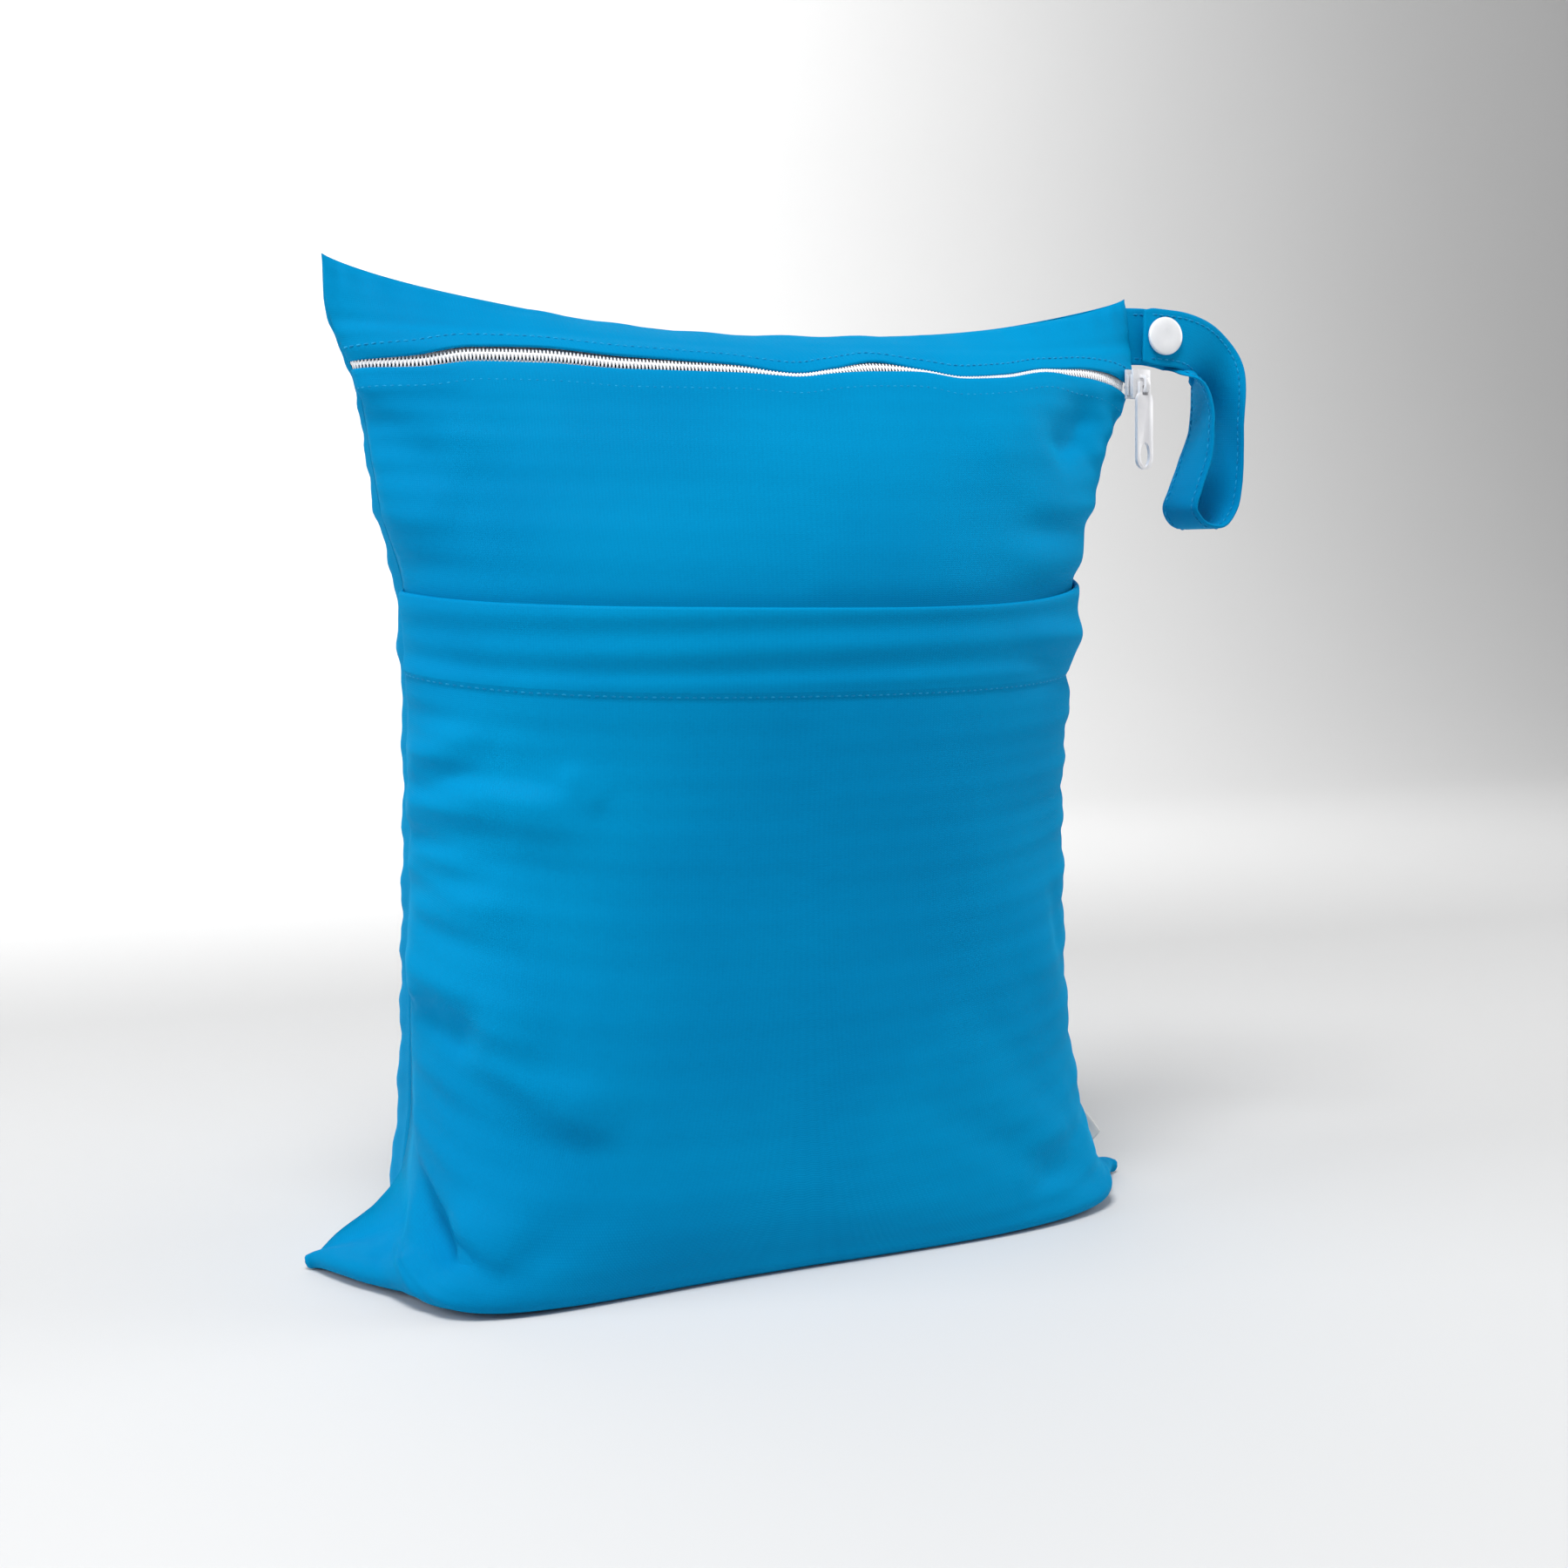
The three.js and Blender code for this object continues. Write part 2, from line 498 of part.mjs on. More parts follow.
function buildStrap() {
  const root = strapRoot();
  const place = (row) =>
    new THREE.Vector3(
      root.x + strapWidth * row.right,
      root.y - strapWidth * row.front,
      root.z + strapWidth * row.up,
    );
  const route = new THREE.CatmullRomCurve3(strapRows.map(place), false, "centripetal");
  const inner = [[], []];
  const outer = [[], []];
  for (const share of spaced(0, 1, strapSteps)) {
    const middle = route.getPoint(share);
    const heading = route.getTangent(share);
    const at = share * (strapRows.length - 1);
    const row = Math.min(strapRows.length - 2, Math.floor(at));
    const between = (column) => THREE.MathUtils.degToRad(mix(strapRows[row][column], strapRows[row + 1][column], at - row));
    const turn = between("turn");
    const yaw = between("yaw");
    const wide = new THREE.Vector3(-Math.sin(yaw) * Math.sin(turn), Math.cos(yaw) * Math.sin(turn), Math.cos(turn));
    wide.addScaledVector(heading, -wide.dot(heading)).normalize();
    const face = wide.clone().cross(heading).normalize();
    [-1, 1].forEach((edge, side) => {
      const rim = middle.clone().addScaledVector(wide, (edge * strapWidth) / 2);
      inner[side].push(rim.clone().addScaledVector(face, -strapThickness / 2));
      outer[side].push(rim.clone().addScaledVector(face, strapThickness / 2));
    });
  }
  add("wrist_strap", sheetBetween(inner, outer, true), cloth(bagBlue));
}

// The snap: a domed cap on the strap's free end, the joined stud and socket between the two layers, and a back cap.
const snapRight = 0.52; // from the seam to the middle of the snap, in strap widths
function buildSnap() {
  const root = strapRoot();
  const layerGap = strapWidth * 0.25 - strapThickness; // the room between the strap's two layers
  const capRadius = snapCapDiameter / 2;
  const turned = (points, name, y, towards) => {
    const geometry = new THREE.LatheGeometry(points.map(([r, h]) => new THREE.Vector2(r, h)), roundSteps);
    if (towards === FRONT) geometry.rotateX(Math.PI);
    add(name, geometry, resin).position.set(root.x + strapWidth * snapRight, y, root.z);
  };
  const dome = [
    [0, 0],
    [capRadius * 0.93, 0],
    [capRadius, snapCapHeight * 0.25],
    [capRadius * 0.94, snapCapHeight * 0.6],
    [capRadius * 0.7, snapCapHeight * 0.88],
    [0, snapCapHeight],
  ];
  const frontLayer = root.y - strapWidth * 0.25 - strapThickness / 2;
  const backLayer = root.y + strapThickness / 2;
  turned(dome, "snap_cap", frontLayer - sewnGap, FRONT);
  turned(dome, "snap_back_cap", backLayer + sewnGap, BACK);
  const coreRadius = snapCoreDiameter / 2;
  const coreHeight = Math.min(snapCoreHeight, layerGap - 2 * sewnGap);
  const core = [
    [0, 0],
    [coreRadius * 0.92, 0],
    [coreRadius, coreHeight * 0.2],
    [coreRadius, coreHeight * 0.8],
    [coreRadius * 0.92, coreHeight],
    [0, coreHeight],
  ];
  turned(core, "snap_core", root.y - strapThickness / 2 - (layerGap - coreHeight) / 2, FRONT);
}

// The label is a folded strip sewn into the right side seam near the base, and leans with the seam.
const labelAlong = 0.075;
const labelLean = THREE.MathUtils.degToRad(40);
function buildLabel() {
  const edge = clothPoint(FRONT, 1, labelAlong, 2 * clothThickness + sewnGap);
  const away = new THREE.Vector3(Math.cos(labelLean), 0, Math.sin(labelLean));
  const mesh = add("side_label", new THREE.BoxGeometry(labelWidth, labelThickness, labelHeight), cloth(0xf0ede6));
  mesh.rotation.y = -labelLean;
  edge.y = -frontDepth * seam.forward(labelAlong);
  mesh.position.copy(edge).addScaledVector(away, labelWidth / 2 + 4 * sewnGap);
}

buildPanels();
buildPocket();
buildZipper();
buildSliderAndPull();
buildStrap();
buildSnap();
buildLabel();

// The origin goes to the middle of the base of the whole part's box.
bag.updateMatrixWorld(true);
const box = new THREE.Box3().setFromObject(bag, true);
const middle = box.getCenter(new THREE.Vector3());
bag.position.set(-middle.x, -middle.y, -box.min.z);

export default bag;
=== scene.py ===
"""The looks of a zipped wet bag: stuffed blue cloth standing on its base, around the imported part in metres."""

from __future__ import annotations

import json
import logging
import math
from dataclasses import dataclass, field
from enum import Enum
from typing import Any, Sequence

import bmesh
import bpy
import numpy as np
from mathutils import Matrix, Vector


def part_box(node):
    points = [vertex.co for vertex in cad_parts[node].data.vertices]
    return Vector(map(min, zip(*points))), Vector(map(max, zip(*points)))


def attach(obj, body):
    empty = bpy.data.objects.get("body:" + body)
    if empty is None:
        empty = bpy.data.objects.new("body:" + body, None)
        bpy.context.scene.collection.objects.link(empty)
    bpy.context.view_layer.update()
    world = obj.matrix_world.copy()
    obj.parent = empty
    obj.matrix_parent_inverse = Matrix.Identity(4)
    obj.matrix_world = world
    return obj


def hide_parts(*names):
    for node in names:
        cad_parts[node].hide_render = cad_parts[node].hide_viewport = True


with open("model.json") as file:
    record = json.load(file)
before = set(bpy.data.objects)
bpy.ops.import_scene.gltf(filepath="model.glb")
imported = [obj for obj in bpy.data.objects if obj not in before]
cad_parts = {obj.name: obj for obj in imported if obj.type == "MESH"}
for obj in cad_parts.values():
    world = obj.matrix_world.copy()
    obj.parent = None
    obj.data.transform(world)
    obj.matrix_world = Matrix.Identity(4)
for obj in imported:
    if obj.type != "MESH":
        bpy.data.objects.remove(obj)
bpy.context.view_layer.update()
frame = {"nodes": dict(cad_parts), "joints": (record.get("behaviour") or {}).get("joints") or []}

LOG = logging.getLogger("wet_bag")
MM = 0.001
PANEL_WIDTH = 300 * MM
PANEL_HEIGHT = 378 * MM

Array = np.ndarray
Colour = tuple[float, float, float, float]
Place = tuple[float, float, float]
Thing = bpy.types.Object
Rows = list[tuple[Array, Array]]


class Side(Enum):
    """The two sides of the bag; the value is the way that a side faces along Y."""

    FRONT = -1
    BACK = 1


class Body(Enum):
    """The part's bodies, which the pieces ride on."""

    BAG = "bag"
    PULL = "pull"


def mix(a: Any, b: Any, share: Any) -> Any:
    """Returns the value that lies that share of the way from a to b."""
    return a + (b - a) * share


def smooth(share: Any) -> Any:
    """Returns a share from 0 to 1 with soft ends."""
    t = np.clip(share, 0.0, 1.0)
    return t * t * (3 - 2 * t)


def steps(low: float, high: float, count: int) -> Array:
    """Returns that many equal steps from low to high, both ends included."""
    return np.linspace(low, high, count + 1)


def arch(across: Array) -> Array:
    """Returns the share of the bag's fullness there: none at the side seams, all of it in the middle."""
    return np.clip(np.sin(math.pi * across), 0.0, 1.0)


def unit(ways: Array) -> Array:
    """Returns those directions with a length of one."""
    return ways / np.linalg.norm(ways, axis=-1, keepdims=True)


def run_along(path: Array) -> Array:
    """Returns how far along a path each of its points lies."""
    return np.concatenate([[0.0], np.cumsum(np.linalg.norm(np.diff(path, axis=0), axis=1))])


def at_run(at: float, run: Array, columns: Array) -> Array:
    """Returns a path's point or direction at that distance along it."""
    return np.array([np.interp(at, run, columns[:, i]) for i in range(3)])


def hermite(t: Any, first: Any, out: Any, last: Any, into: Any) -> Any:
    """Returns the cubic from first to last with those slopes at its ends, at the share t."""
    start = (2 * t**3 - 3 * t**2 + 1) * first + (t**3 - 2 * t**2 + t) * out
    return start + (3 * t**2 - 2 * t**3) * last + (t**3 - t**2) * into


class SmoothColumn:
    """A smooth curve through one column of a table that never overshoots its rows."""

    def __init__(self, at: Sequence[float], value: Sequence[float]) -> None:
        """Prepares the curve.

        Args:
            at: where each row lies, in rising order.
            value: the column's value in each row.
        """
        self.at = np.array(at, float)
        self.value = np.array(value, float)
        self.step = np.diff(self.at)
        rise = np.diff(self.value) / self.step
        slope = np.zeros(len(self.at))
        slope[0], slope[-1] = rise[0], rise[-1]
        for i in range(1, len(rise)):
            if rise[i - 1] * rise[i] > 0:
                before = 2 * self.step[i] + self.step[i - 1]
                after = self.step[i] + 2 * self.step[i - 1]
                slope[i] = (before + after) / (before / rise[i - 1] + after / rise[i])
        self.slope = slope

    def __call__(self, along: Array | float) -> Array:
        """Returns the column's value there."""
        place = np.asarray(along, float)
        i = np.clip(np.searchsorted(self.at, place, side="right") - 1, 0, len(self.step) - 1)
        h = self.step[i]
        t = (place - self.at[i]) / h
        return hermite(t, self.value[i], h * self.slope[i], self.value[i + 1], h * self.slope[i + 1])


# The line down the middle of the front and back: its place along the cut panel, front and back depth, height,
# how square the left and right ends are, how fast the cloth falls from seam to middle, and how far it swells.
PROFILE_ROWS = (
    (0.0, 0.0, 0.0, 0.0, 2.8, 2.5, 0.3, 0.03),
    (0.06, 0.5, 0.38, 0.0, 4.2, 3.6, 0.2, 0.1),
    (0.126, 0.92, 0.77, 0.0, 4.8, 3.8, 0.22, 0.11),
    (0.156, 0.97, 0.92, 0.019, 4.4, 3.4, 0.35, 0.08),
    (0.214, 1.0, 1.0, 0.088, 3.3, 2.8, 0.6, 0.03),
    (0.3, 1.0, 1.0, 0.188, 2.7, 2.5, 1.0, 0.0),
    (0.431, 0.985, 0.98, 0.344, 2.4, 2.3, 1.0, 0.0),
    (0.563, 0.955, 0.94, 0.5, 2.35, 2.25, 1.0, 0.0),
    (0.688, 0.9, 0.87, 0.645, 2.35, 2.25, 1.0, 0.0),
    (0.807, 0.735, 0.7, 0.781, 2.25, 2.25, 1.1, 0.0),
    (0.86, 0.62, 0.56, 0.84, 2.2, 2.2, 1.2, 0.0),
    (0.915, 0.475, 0.42, 0.893, 2.15, 2.15, 1.3, 0.0),
    (0.96, 0.25, 0.23, 0.921, 2.1, 2.1, 1.45, 0.0),
    (1.0, 0.0, 0.0, 0.937, 2.0, 2.0, 1.6, 0.0),
)
# The side seams: place along the panel, distance of the left and right one from the middle, their heights, and
# how far they lie in front of the middle plane.
SEAM_ROWS = (
    (0.0, 0.997, 0.993, 0.003, 0.003, 0.0),
    (0.03, 0.948, 0.94, 0.025, 0.016, 0.0),
    (0.07, 0.857, 0.875, 0.056, 0.038, 0.03),
    (0.12, 0.803, 0.825, 0.092, 0.075, 0.06),
    (0.2, 0.787, 0.79, 0.16, 0.144, 0.09),
    (0.3, 0.789, 0.772, 0.26, 0.244, 0.1),
    (0.45, 0.789, 0.77, 0.419, 0.41, 0.1),
    (0.618, 0.796, 0.795, 0.59, 0.584, 0.1),
    (0.688, 0.806, 0.815, 0.668, 0.684, 0.1),
    (0.76, 0.853, 0.875, 0.744, 0.753, 0.09),
    (0.83, 0.88, 0.928, 0.816, 0.82, 0.07),
    (0.875, 0.895, 0.975, 0.86, 0.862, 0.05),
    (0.915, 0.922, 1.018, 0.899, 0.902, 0.03),
    (0.955, 0.96, 1.03, 0.94, 0.945, 0.01),
    (1.0, 0.976, 1.03, 1.0, 1.0, 0.0),
)


@dataclass(frozen=True)
class Fold:
    """One fold or dent of the cloth.

    across and along place its middle as shares of the panel, heading is the way that it runs, in degrees up
    from the right, length and width are shares of the panel's height, and height is in metres, under 0 for a dent.
    """

    across: float
    along: float
    heading: float
    length: float
    width: float
    height: float


MAIN_FOLDS = (
    Fold(0.13, 0.14, -42, 0.16, 0.035, -0.00558),
    Fold(0.1, 0.085, 75, 0.08, 0.025, 0.00372),
    Fold(0.24, 0.35, -38, 0.2, 0.05, 0.00217),
    Fold(0.2, 0.53, -20, 0.16, 0.045, 0.00186),
    Fold(0.17, 0.43, -12, 0.14, 0.04, 0.00174),
    Fold(0.8, 0.38, 48, 0.18, 0.045, 0.00186),
    Fold(0.22, 0.83, -30, 0.2, 0.045, -0.00217),
    Fold(0.85, 0.85, 50, 0.12, 0.04, -0.0031),
)


# The long soft creases that the stuffing draws into the cloth: height in mm, negative for a valley, how far it
# reaches above and below its path in mm, and the path's points as shares across and along the panel.
CREASE_ROWS = (
    (1.6, 7, 7, ((0.0, 0.515), (0.039, 0.529), (0.123, 0.555), (0.175, 0.571), (0.216, 0.583))),
    (-1.8, 8, 6, ((0.06, 0.52), (0.098, 0.527), (0.194, 0.543), (0.258, 0.543), (0.302, 0.535))),
    (2.3, 7, 9, ((0.0, 0.475), (0.042, 0.489), (0.165, 0.515), (0.238, 0.519), (0.292, 0.511), (0.332, 0.499))),
    (0.8, 5, 5, ((0.273, 0.549), (0.305, 0.539), (0.332, 0.521))),
    (-1.0, 6, 6, ((0.0, 0.455), (0.047, 0.469), (0.165, 0.487), (0.248, 0.487))),
    (1.2, 6, 8, ((0.0, 0.43), (0.049, 0.445), (0.15, 0.463), (0.214, 0.467))),
    (-0.9, 6, 6, ((0.0, 0.41), (0.057, 0.425), (0.165, 0.443), (0.214, 0.447))),
    (1.0, 7, 7, ((0.0, 0.385), (0.047, 0.399), (0.167, 0.423), (0.248, 0.423))),
    (2.8, 15, 6, ((0.0, 0.33), (0.037, 0.333), (0.113, 0.339), (0.172, 0.335), (0.231, 0.331), (0.29, 0.329))),
    (-1.8, 6, 10, ((0.05, 0.32), (0.064, 0.319), (0.145, 0.319), (0.194, 0.311))),
    (2.8, 12, 7, ((0.14, 0.325), (0.162, 0.319), (0.219, 0.301), (0.268, 0.285), (0.317, 0.273), (0.376, 0.259))),
    (-5.5, 4, 8, ((0.0, 0.168), (0.042, 0.165), (0.096, 0.164), (0.216, 0.163), (0.31, 0.15))),
    (-5.0, 4, 5, ((0.15, 0.07), (0.125, 0.076), (0.07, 0.085), (0.017, 0.095), (0.0, 0.13))),
    (2.2, 4, 5, ((0.17, 0.1), (0.1, 0.105), (0.04, 0.118))),
    (-2.6, 3, 4, ((0.0, 0.035), (0.05, 0.045), (0.106, 0.066), (0.15, 0.075))),
    (-2.2, 3, 4, ((0.12, 0.06), (0.17, 0.084), (0.21, 0.1))),
    (2.0, 6, 6, ((0.057, 0.148), (0.15, 0.152), (0.253, 0.142))),
    (1.5, 9, 6, ((0.116, 0.18), (0.229, 0.18), (0.322, 0.165))),
    (1.3, 10, 8, ((0.0, 0.89), (0.022, 0.884), (0.128, 0.86), (0.202, 0.838), (0.268, 0.822))),
    (-1.1, 8, 8, ((0.0, 0.852), (0.02, 0.846), (0.135, 0.822), (0.204, 0.798))),
    (0.9, 10, 10, ((0.0, 0.786), (0.118, 0.774), (0.197, 0.756))),
    (-3.0, 7, 9, ((0.828, 0.904), (0.811, 0.872), (0.791, 0.842), (0.742, 0.822))),
    (2.0, 6, 8, ((0.894, 0.884), (0.884, 0.852), (0.85, 0.822))),
    (1.1, 11, 11, ((0.742, 0.868), (0.695, 0.848), (0.639, 0.832))),
    (1.0, 6, 6, ((0.683, 0.788), (0.749, 0.782), (0.855, 0.774), (1.0, 0.77))),
    (-0.9, 6, 6, ((0.685, 0.756), (0.754, 0.752), (0.848, 0.747), (1.0, 0.743))),
    (0.9, 6, 6, ((0.673, 0.727), (0.742, 0.725), (0.833, 0.721), (1.0, 0.718))),
    (1.1, 6, 6, ((0.695, 0.663), (0.759, 0.655), (0.848, 0.645), (1.0, 0.64))),
    (-0.9, 6, 6, ((0.7, 0.637), (0.769, 0.629), (0.862, 0.621), (1.0, 0.616))),
    (-0.8, 5, 5, ((0.818, 0.431), (0.833, 0.379), (0.821, 0.341))),
    (-1.6, 7, 9, ((0.86, 0.19), (0.791, 0.184), (0.722, 0.18), (0.656, 0.17))),
    (1.2, 8, 8, ((0.85, 0.212), (0.779, 0.208), (0.708, 0.2), (0.649, 0.192))),
)


@dataclass(frozen=True)
class Crease:
    """One long soft ridge or valley over the cloth, with its sizes in metres and its path in shares."""

    height: float
    above: float
    below: float
    path: tuple[tuple[float, float], ...]
    reach: float = 2.6
    ridge: float = 2 * MM
    dying: float = 0.35

    def corners(self, side: Side) -> Array:
        """Returns the path's rounded places, mirrored on the back."""
        places = np.array(self.path, float)
        for _ in range(2):
            near = 0.75 * places[:-1] + 0.25 * places[1:]
            far = 0.25 * places[:-1] + 0.75 * places[1:]
            middle = np.stack([near, far], axis=1).reshape(-1, 2)
            places = np.vstack([places[:1], middle, places[-1:]])
        if side is Side.BACK:
            places[:, 0] = 1 - places[:, 0]
        return places

    def lift(self, side: Side, spot: Array, line: Array) -> Array:
        """Returns how far the crease lifts each of those points.

        Args:
            side: the side of the bag.
            spot: the points, one to a row.
            line: the crease's own points in space.

        Returns:
            The height at each point, in metres.
        """
        reach = self.reach * max(self.above, self.below)
        near = np.all((spot > line.min(axis=0) - reach) & (spot < line.max(axis=0) + reach), axis=1)
        height = np.zeros(len(spot))
        close = spot[near]
        if not len(close):
            return height
        best = np.full(len(close), 1e9)
        lean = np.zeros(len(close))
        gone = np.zeros(len(close))
        start = run_along(line)
        facing = np.array([0.0, side.value, 0.0])
        for i, length in enumerate(np.diff(start)):
            ahead = (line[i + 1] - line[i]) / length
            step = np.clip((close - line[i]) @ ahead, 0.0, length)
            away = close - line[i] - step[:, None] * ahead
            far = np.linalg.norm(away, axis=1)
            closer = far < best
            best = np.where(closer, far, best)
            lean = np.where(closer, away @ np.cross(facing, ahead), lean)
            gone = np.where(closer, (start[i] + step) / start[-1], gone)
        wide = mix(self.below, self.above, smooth(0.5 + lean / self.ridge))
        height[near] = self.height * np.exp(-((best / wide) ** 2))
        height[near] *= self.fade(0, gone) * self.fade(-1, 1 - gone)
        return height

    def fade(self, end: int, gone: Array) -> Any:
        """Returns how the crease dies away towards that end of its path, unless a seam holds it."""
        across = self.path[end][0]
        return 1.0 if min(across, 1 - across) < 0.01 else smooth(gone / self.dying)


CREASE_STRENGTH = 1.5
CREASES = tuple(Crease(CREASE_STRENGTH * h * MM, a * MM, b * MM, path) for h, a, b, path in CREASE_ROWS)


@dataclass
class StuffedShape:
    """The stuffed bag's form, shared by every cloth piece, at shares across and along its cut panels."""

    width: float = 293 * MM
    height: float = 320 * MM
    front_depth: float = 62 * MM
    back_depth: float = 56 * MM
    panel_height: float = PANEL_HEIGHT
    panel_width: float = PANEL_WIDTH
    cloth: float = 1.2 * MM
    sewn_gap: float = 0.3 * MM
    left_fullness: float = 0.2
    sunk_fullness: float = 0.5
    place: Place = (-25.823 * MM, 7.133 * MM, 1.318 * MM)
    seam_gather: float = 1.35 * MM
    seam_spacing: float = 23 * MM
    fine_spacing: float = 9 * MM
    gather_reach: float = 0.26
    top_gather: float = 0.5 * MM
    top_spacing: float = 17 * MM
    unevenness: float = 0.32 * MM
    back_share: float = 0.6
    floor_reach: float = 14 * MM
    settled: dict[Side, "SettledCloth"] = field(default_factory=dict)

    def __post_init__(self) -> None:
        """Turns the tables into curves."""
        profile = list(zip(*PROFILE_ROWS))
        names = ("front", "back", "rise", "square_left", "square_right", "fall", "swell")
        self.profile = {n: SmoothColumn(profile[0], c) for n, c in zip(names, profile[1:])}
        seam = list(zip(*SEAM_ROWS))
        names = ("left", "right", "left_rise", "right_rise", "forward")
        self.seam = {n: SmoothColumn(seam[0], c) for n, c in zip(names, seam[1:])}

    def shell(self, side: Side, across: Array, along: Array) -> Array:
        """Returns the points of a panel's inner face before its folds.

        Args:
            side: the panel's side of the bag.
            across: shares across the panel, from the left.
            along: shares along it, from the bottom.

        Returns:
            An array with x, y and z along its last axis.
        """
        turn = math.pi * (1 - across)
        row, seam = self.profile, self.seam
        square = np.where(across < 0.5, row["square_left"](along), row["square_right"](along))
        reach = np.sign(np.cos(turn)) * np.abs(np.cos(turn)) ** (2 / square)
        bulge = arch(across) ** (2 / square)
        settled = arch(across) ** row["fall"](along)
        ends = (reach + 1) / 2
        front = side is Side.FRONT
        lift = self.cloth + self.sewn_gap if front else 0.0
        spread = 1 + row["swell"](along) * bulge if front else 1.0
        half = self.width / 2
        x = mix(-half * seam["left"](along), half * seam["right"](along), ends) * spread
        seam_z = self.height * mix(seam["left_rise"](along), seam["right_rise"](along), ends)
        middle_z = np.maximum(self.height * row["rise"](along), lift)
        depth = self.front_depth * row["front"](along) if front else self.back_depth * row["back"](along)
        sunk = self.sunk_fullness * (1 - along) ** 4 * np.minimum(0, reach) ** 2
        fullness = 1 + sunk - self.left_fullness * reach * (1 - along) ** 2 if front else 1.0
        seam_y = -self.front_depth * seam["forward"](along)
        y = seam_y + (side.value * depth - seam_y) * bulge * fullness
        return np.stack([x, y, mix(seam_z, middle_z, settled)], axis=-1)

    def outward(self, side: Side, across: Array, along: Array) -> Array:
        """Returns the panel's outward directions there."""
        probe = 0.004
        a = np.clip(across, 2 * probe, 1 - 2 * probe)
        v = np.clip(along, probe, 1 - probe)
        rightward = self.shell(side, a + probe, v) - self.shell(side, a - probe, v)
        upward = self.shell(side, a, v + probe) - self.shell(side, a, v - probe)
        normal = np.cross(rightward, upward) * -side.value
        return unit(normal)

    def fold_height(self, across: Array, along: Array) -> Array:
        """Returns how far the main folds lift the front there, in metres."""
        height = np.zeros(np.broadcast(across, along).shape)
        for fold in MAIN_FOLDS:
            heading = math.radians(fold.heading)
            right = (across - fold.across) * self.width / self.panel_height
            up = along - fold.along
            onward = (right * math.cos(heading) + up * math.sin(heading)) / (fold.length / 2)
            sideways = (up * math.cos(heading) - right * math.sin(heading)) / fold.width
            height += fold.height * np.exp(-(onward**2) - sideways**2) * smooth(arch(across) * 4)
        return height

    def puckers(self, side: Side, across: Array, along: Array) -> Array:
        """Returns the height of the small gathers that the seams' thread draws into the cloth."""
        full = arch(across)
        run = along * self.panel_height
        drift = 2.2 * np.sin(run / 0.061 + 5 * (across > 0.5)) + 1.3 * np.sin(run / 0.027 + side.value)
        wave = np.cos(2 * math.pi * run / self.seam_spacing + drift)
        wave += 0.45 * np.cos(2 * math.pi * run / self.fine_spacing + 2 * drift)
        reach = 4 * full * np.exp(-full / self.gather_reach) / 1.1
        ends = smooth(along / 0.12) * smooth((1 - along) / 0.06)
        seam_gathers = self.seam_gather * reach * wave * ends
        top = np.exp(-(1 - along) / 0.018) * (1 - np.exp(-(1 - along) / 0.004))
        sideways = across * self.panel_width
        ripple = 2 * math.pi * sideways / self.top_spacing + 1.9 * np.sin(sideways / 0.041)
        top_gathers = self.top_gather * top * np.cos(ripple)
        return seam_gathers + top_gathers * smooth(full * 3)

    def crease_height(self, side: Side, across: Array, spot: Array) -> Array:
        """Returns how far the long creases lift the cloth at those points of a panel."""
        flat = spot.reshape(-1, 3)
        height = np.zeros(len(flat))
        for crease in CREASES:
            places = crease.corners(side)
            height += crease.lift(side, flat, self.shell(side, places[:, 0], places[:, 1]))
        share = 1.0 if side is Side.FRONT else self.back_share
        return share * height.reshape(spot.shape[:-1]) * smooth(arch(across) * 5)

    def slack(self, side: Side, across: Array, along: Array) -> Array:
        """Returns the slight unevenness of stuffed cloth, in metres."""
        u = across * 7.1 + 0.7 * side.value
        v = along * 9.3
        waves = np.sin(2.1 * u + 1.3 * v + 0.4) + np.sin(1.2 * u - 2.3 * v + 2.0)
        waves += 0.6 * np.sin(3.7 * u + 3.1 * v + 5.0)
        return self.unevenness * waves * smooth(arch(across) * 2.5)

    def relief(self, side: Side, across: Array, along: Array) -> Array:
        """Returns the whole height of folds and gathers over a panel, in metres."""
        spot = self.shell(side, across, along)
        floor = smooth(spot[..., 2] / self.floor_reach - 0.2)
        height = self.crease_height(side, across, spot) + self.slack(side, across, along)
        if side is Side.FRONT:
            height = height + self.fold_height(across, along)
        height = height * floor + self.puckers(side, across, along)
        if side in self.settled:
            height = height + self.settled[side].height(across, along)
        return height

    def point(self, side: Side, across: Array, along: Array, out: Array | float) -> Array:
        """Returns points that far outside a panel's inner face, in the part's frame.

        Args:
            side: the panel's side of the bag.
            across: shares across the panel, from the left.
            along: shares along it, from the bottom.
            out: the distance outside the inner face, in metres.

        Returns:
            An array with x, y and z along its last axis.
        """
        across, along = np.broadcast_arrays(np.asarray(across, float), np.asarray(along, float))
        spot = self.shell(side, across, along)
        spot[..., 1] += side.value * self.sewn_gap / 2
        height = self.relief(side, across, along) + out
        return spot + self.outward(side, across, along) * height[..., None] + np.array(self.place)


SHAPE = StuffedShape()


def blurred(grid: Array, reach: float) -> Array:
    """Returns a grid smoothed by a bell of that many cells."""
    half = int(3 * reach) + 1
    bell = np.exp(-0.5 * (np.arange(-half, half + 1) / reach) ** 2)
    bell /= bell.sum()
    wide = np.pad(grid, half, mode="edge")
    wide = np.apply_along_axis(np.convolve, 0, wide, bell, mode="valid")
    return np.apply_along_axis(np.convolve, 1, wide, bell, mode="valid")


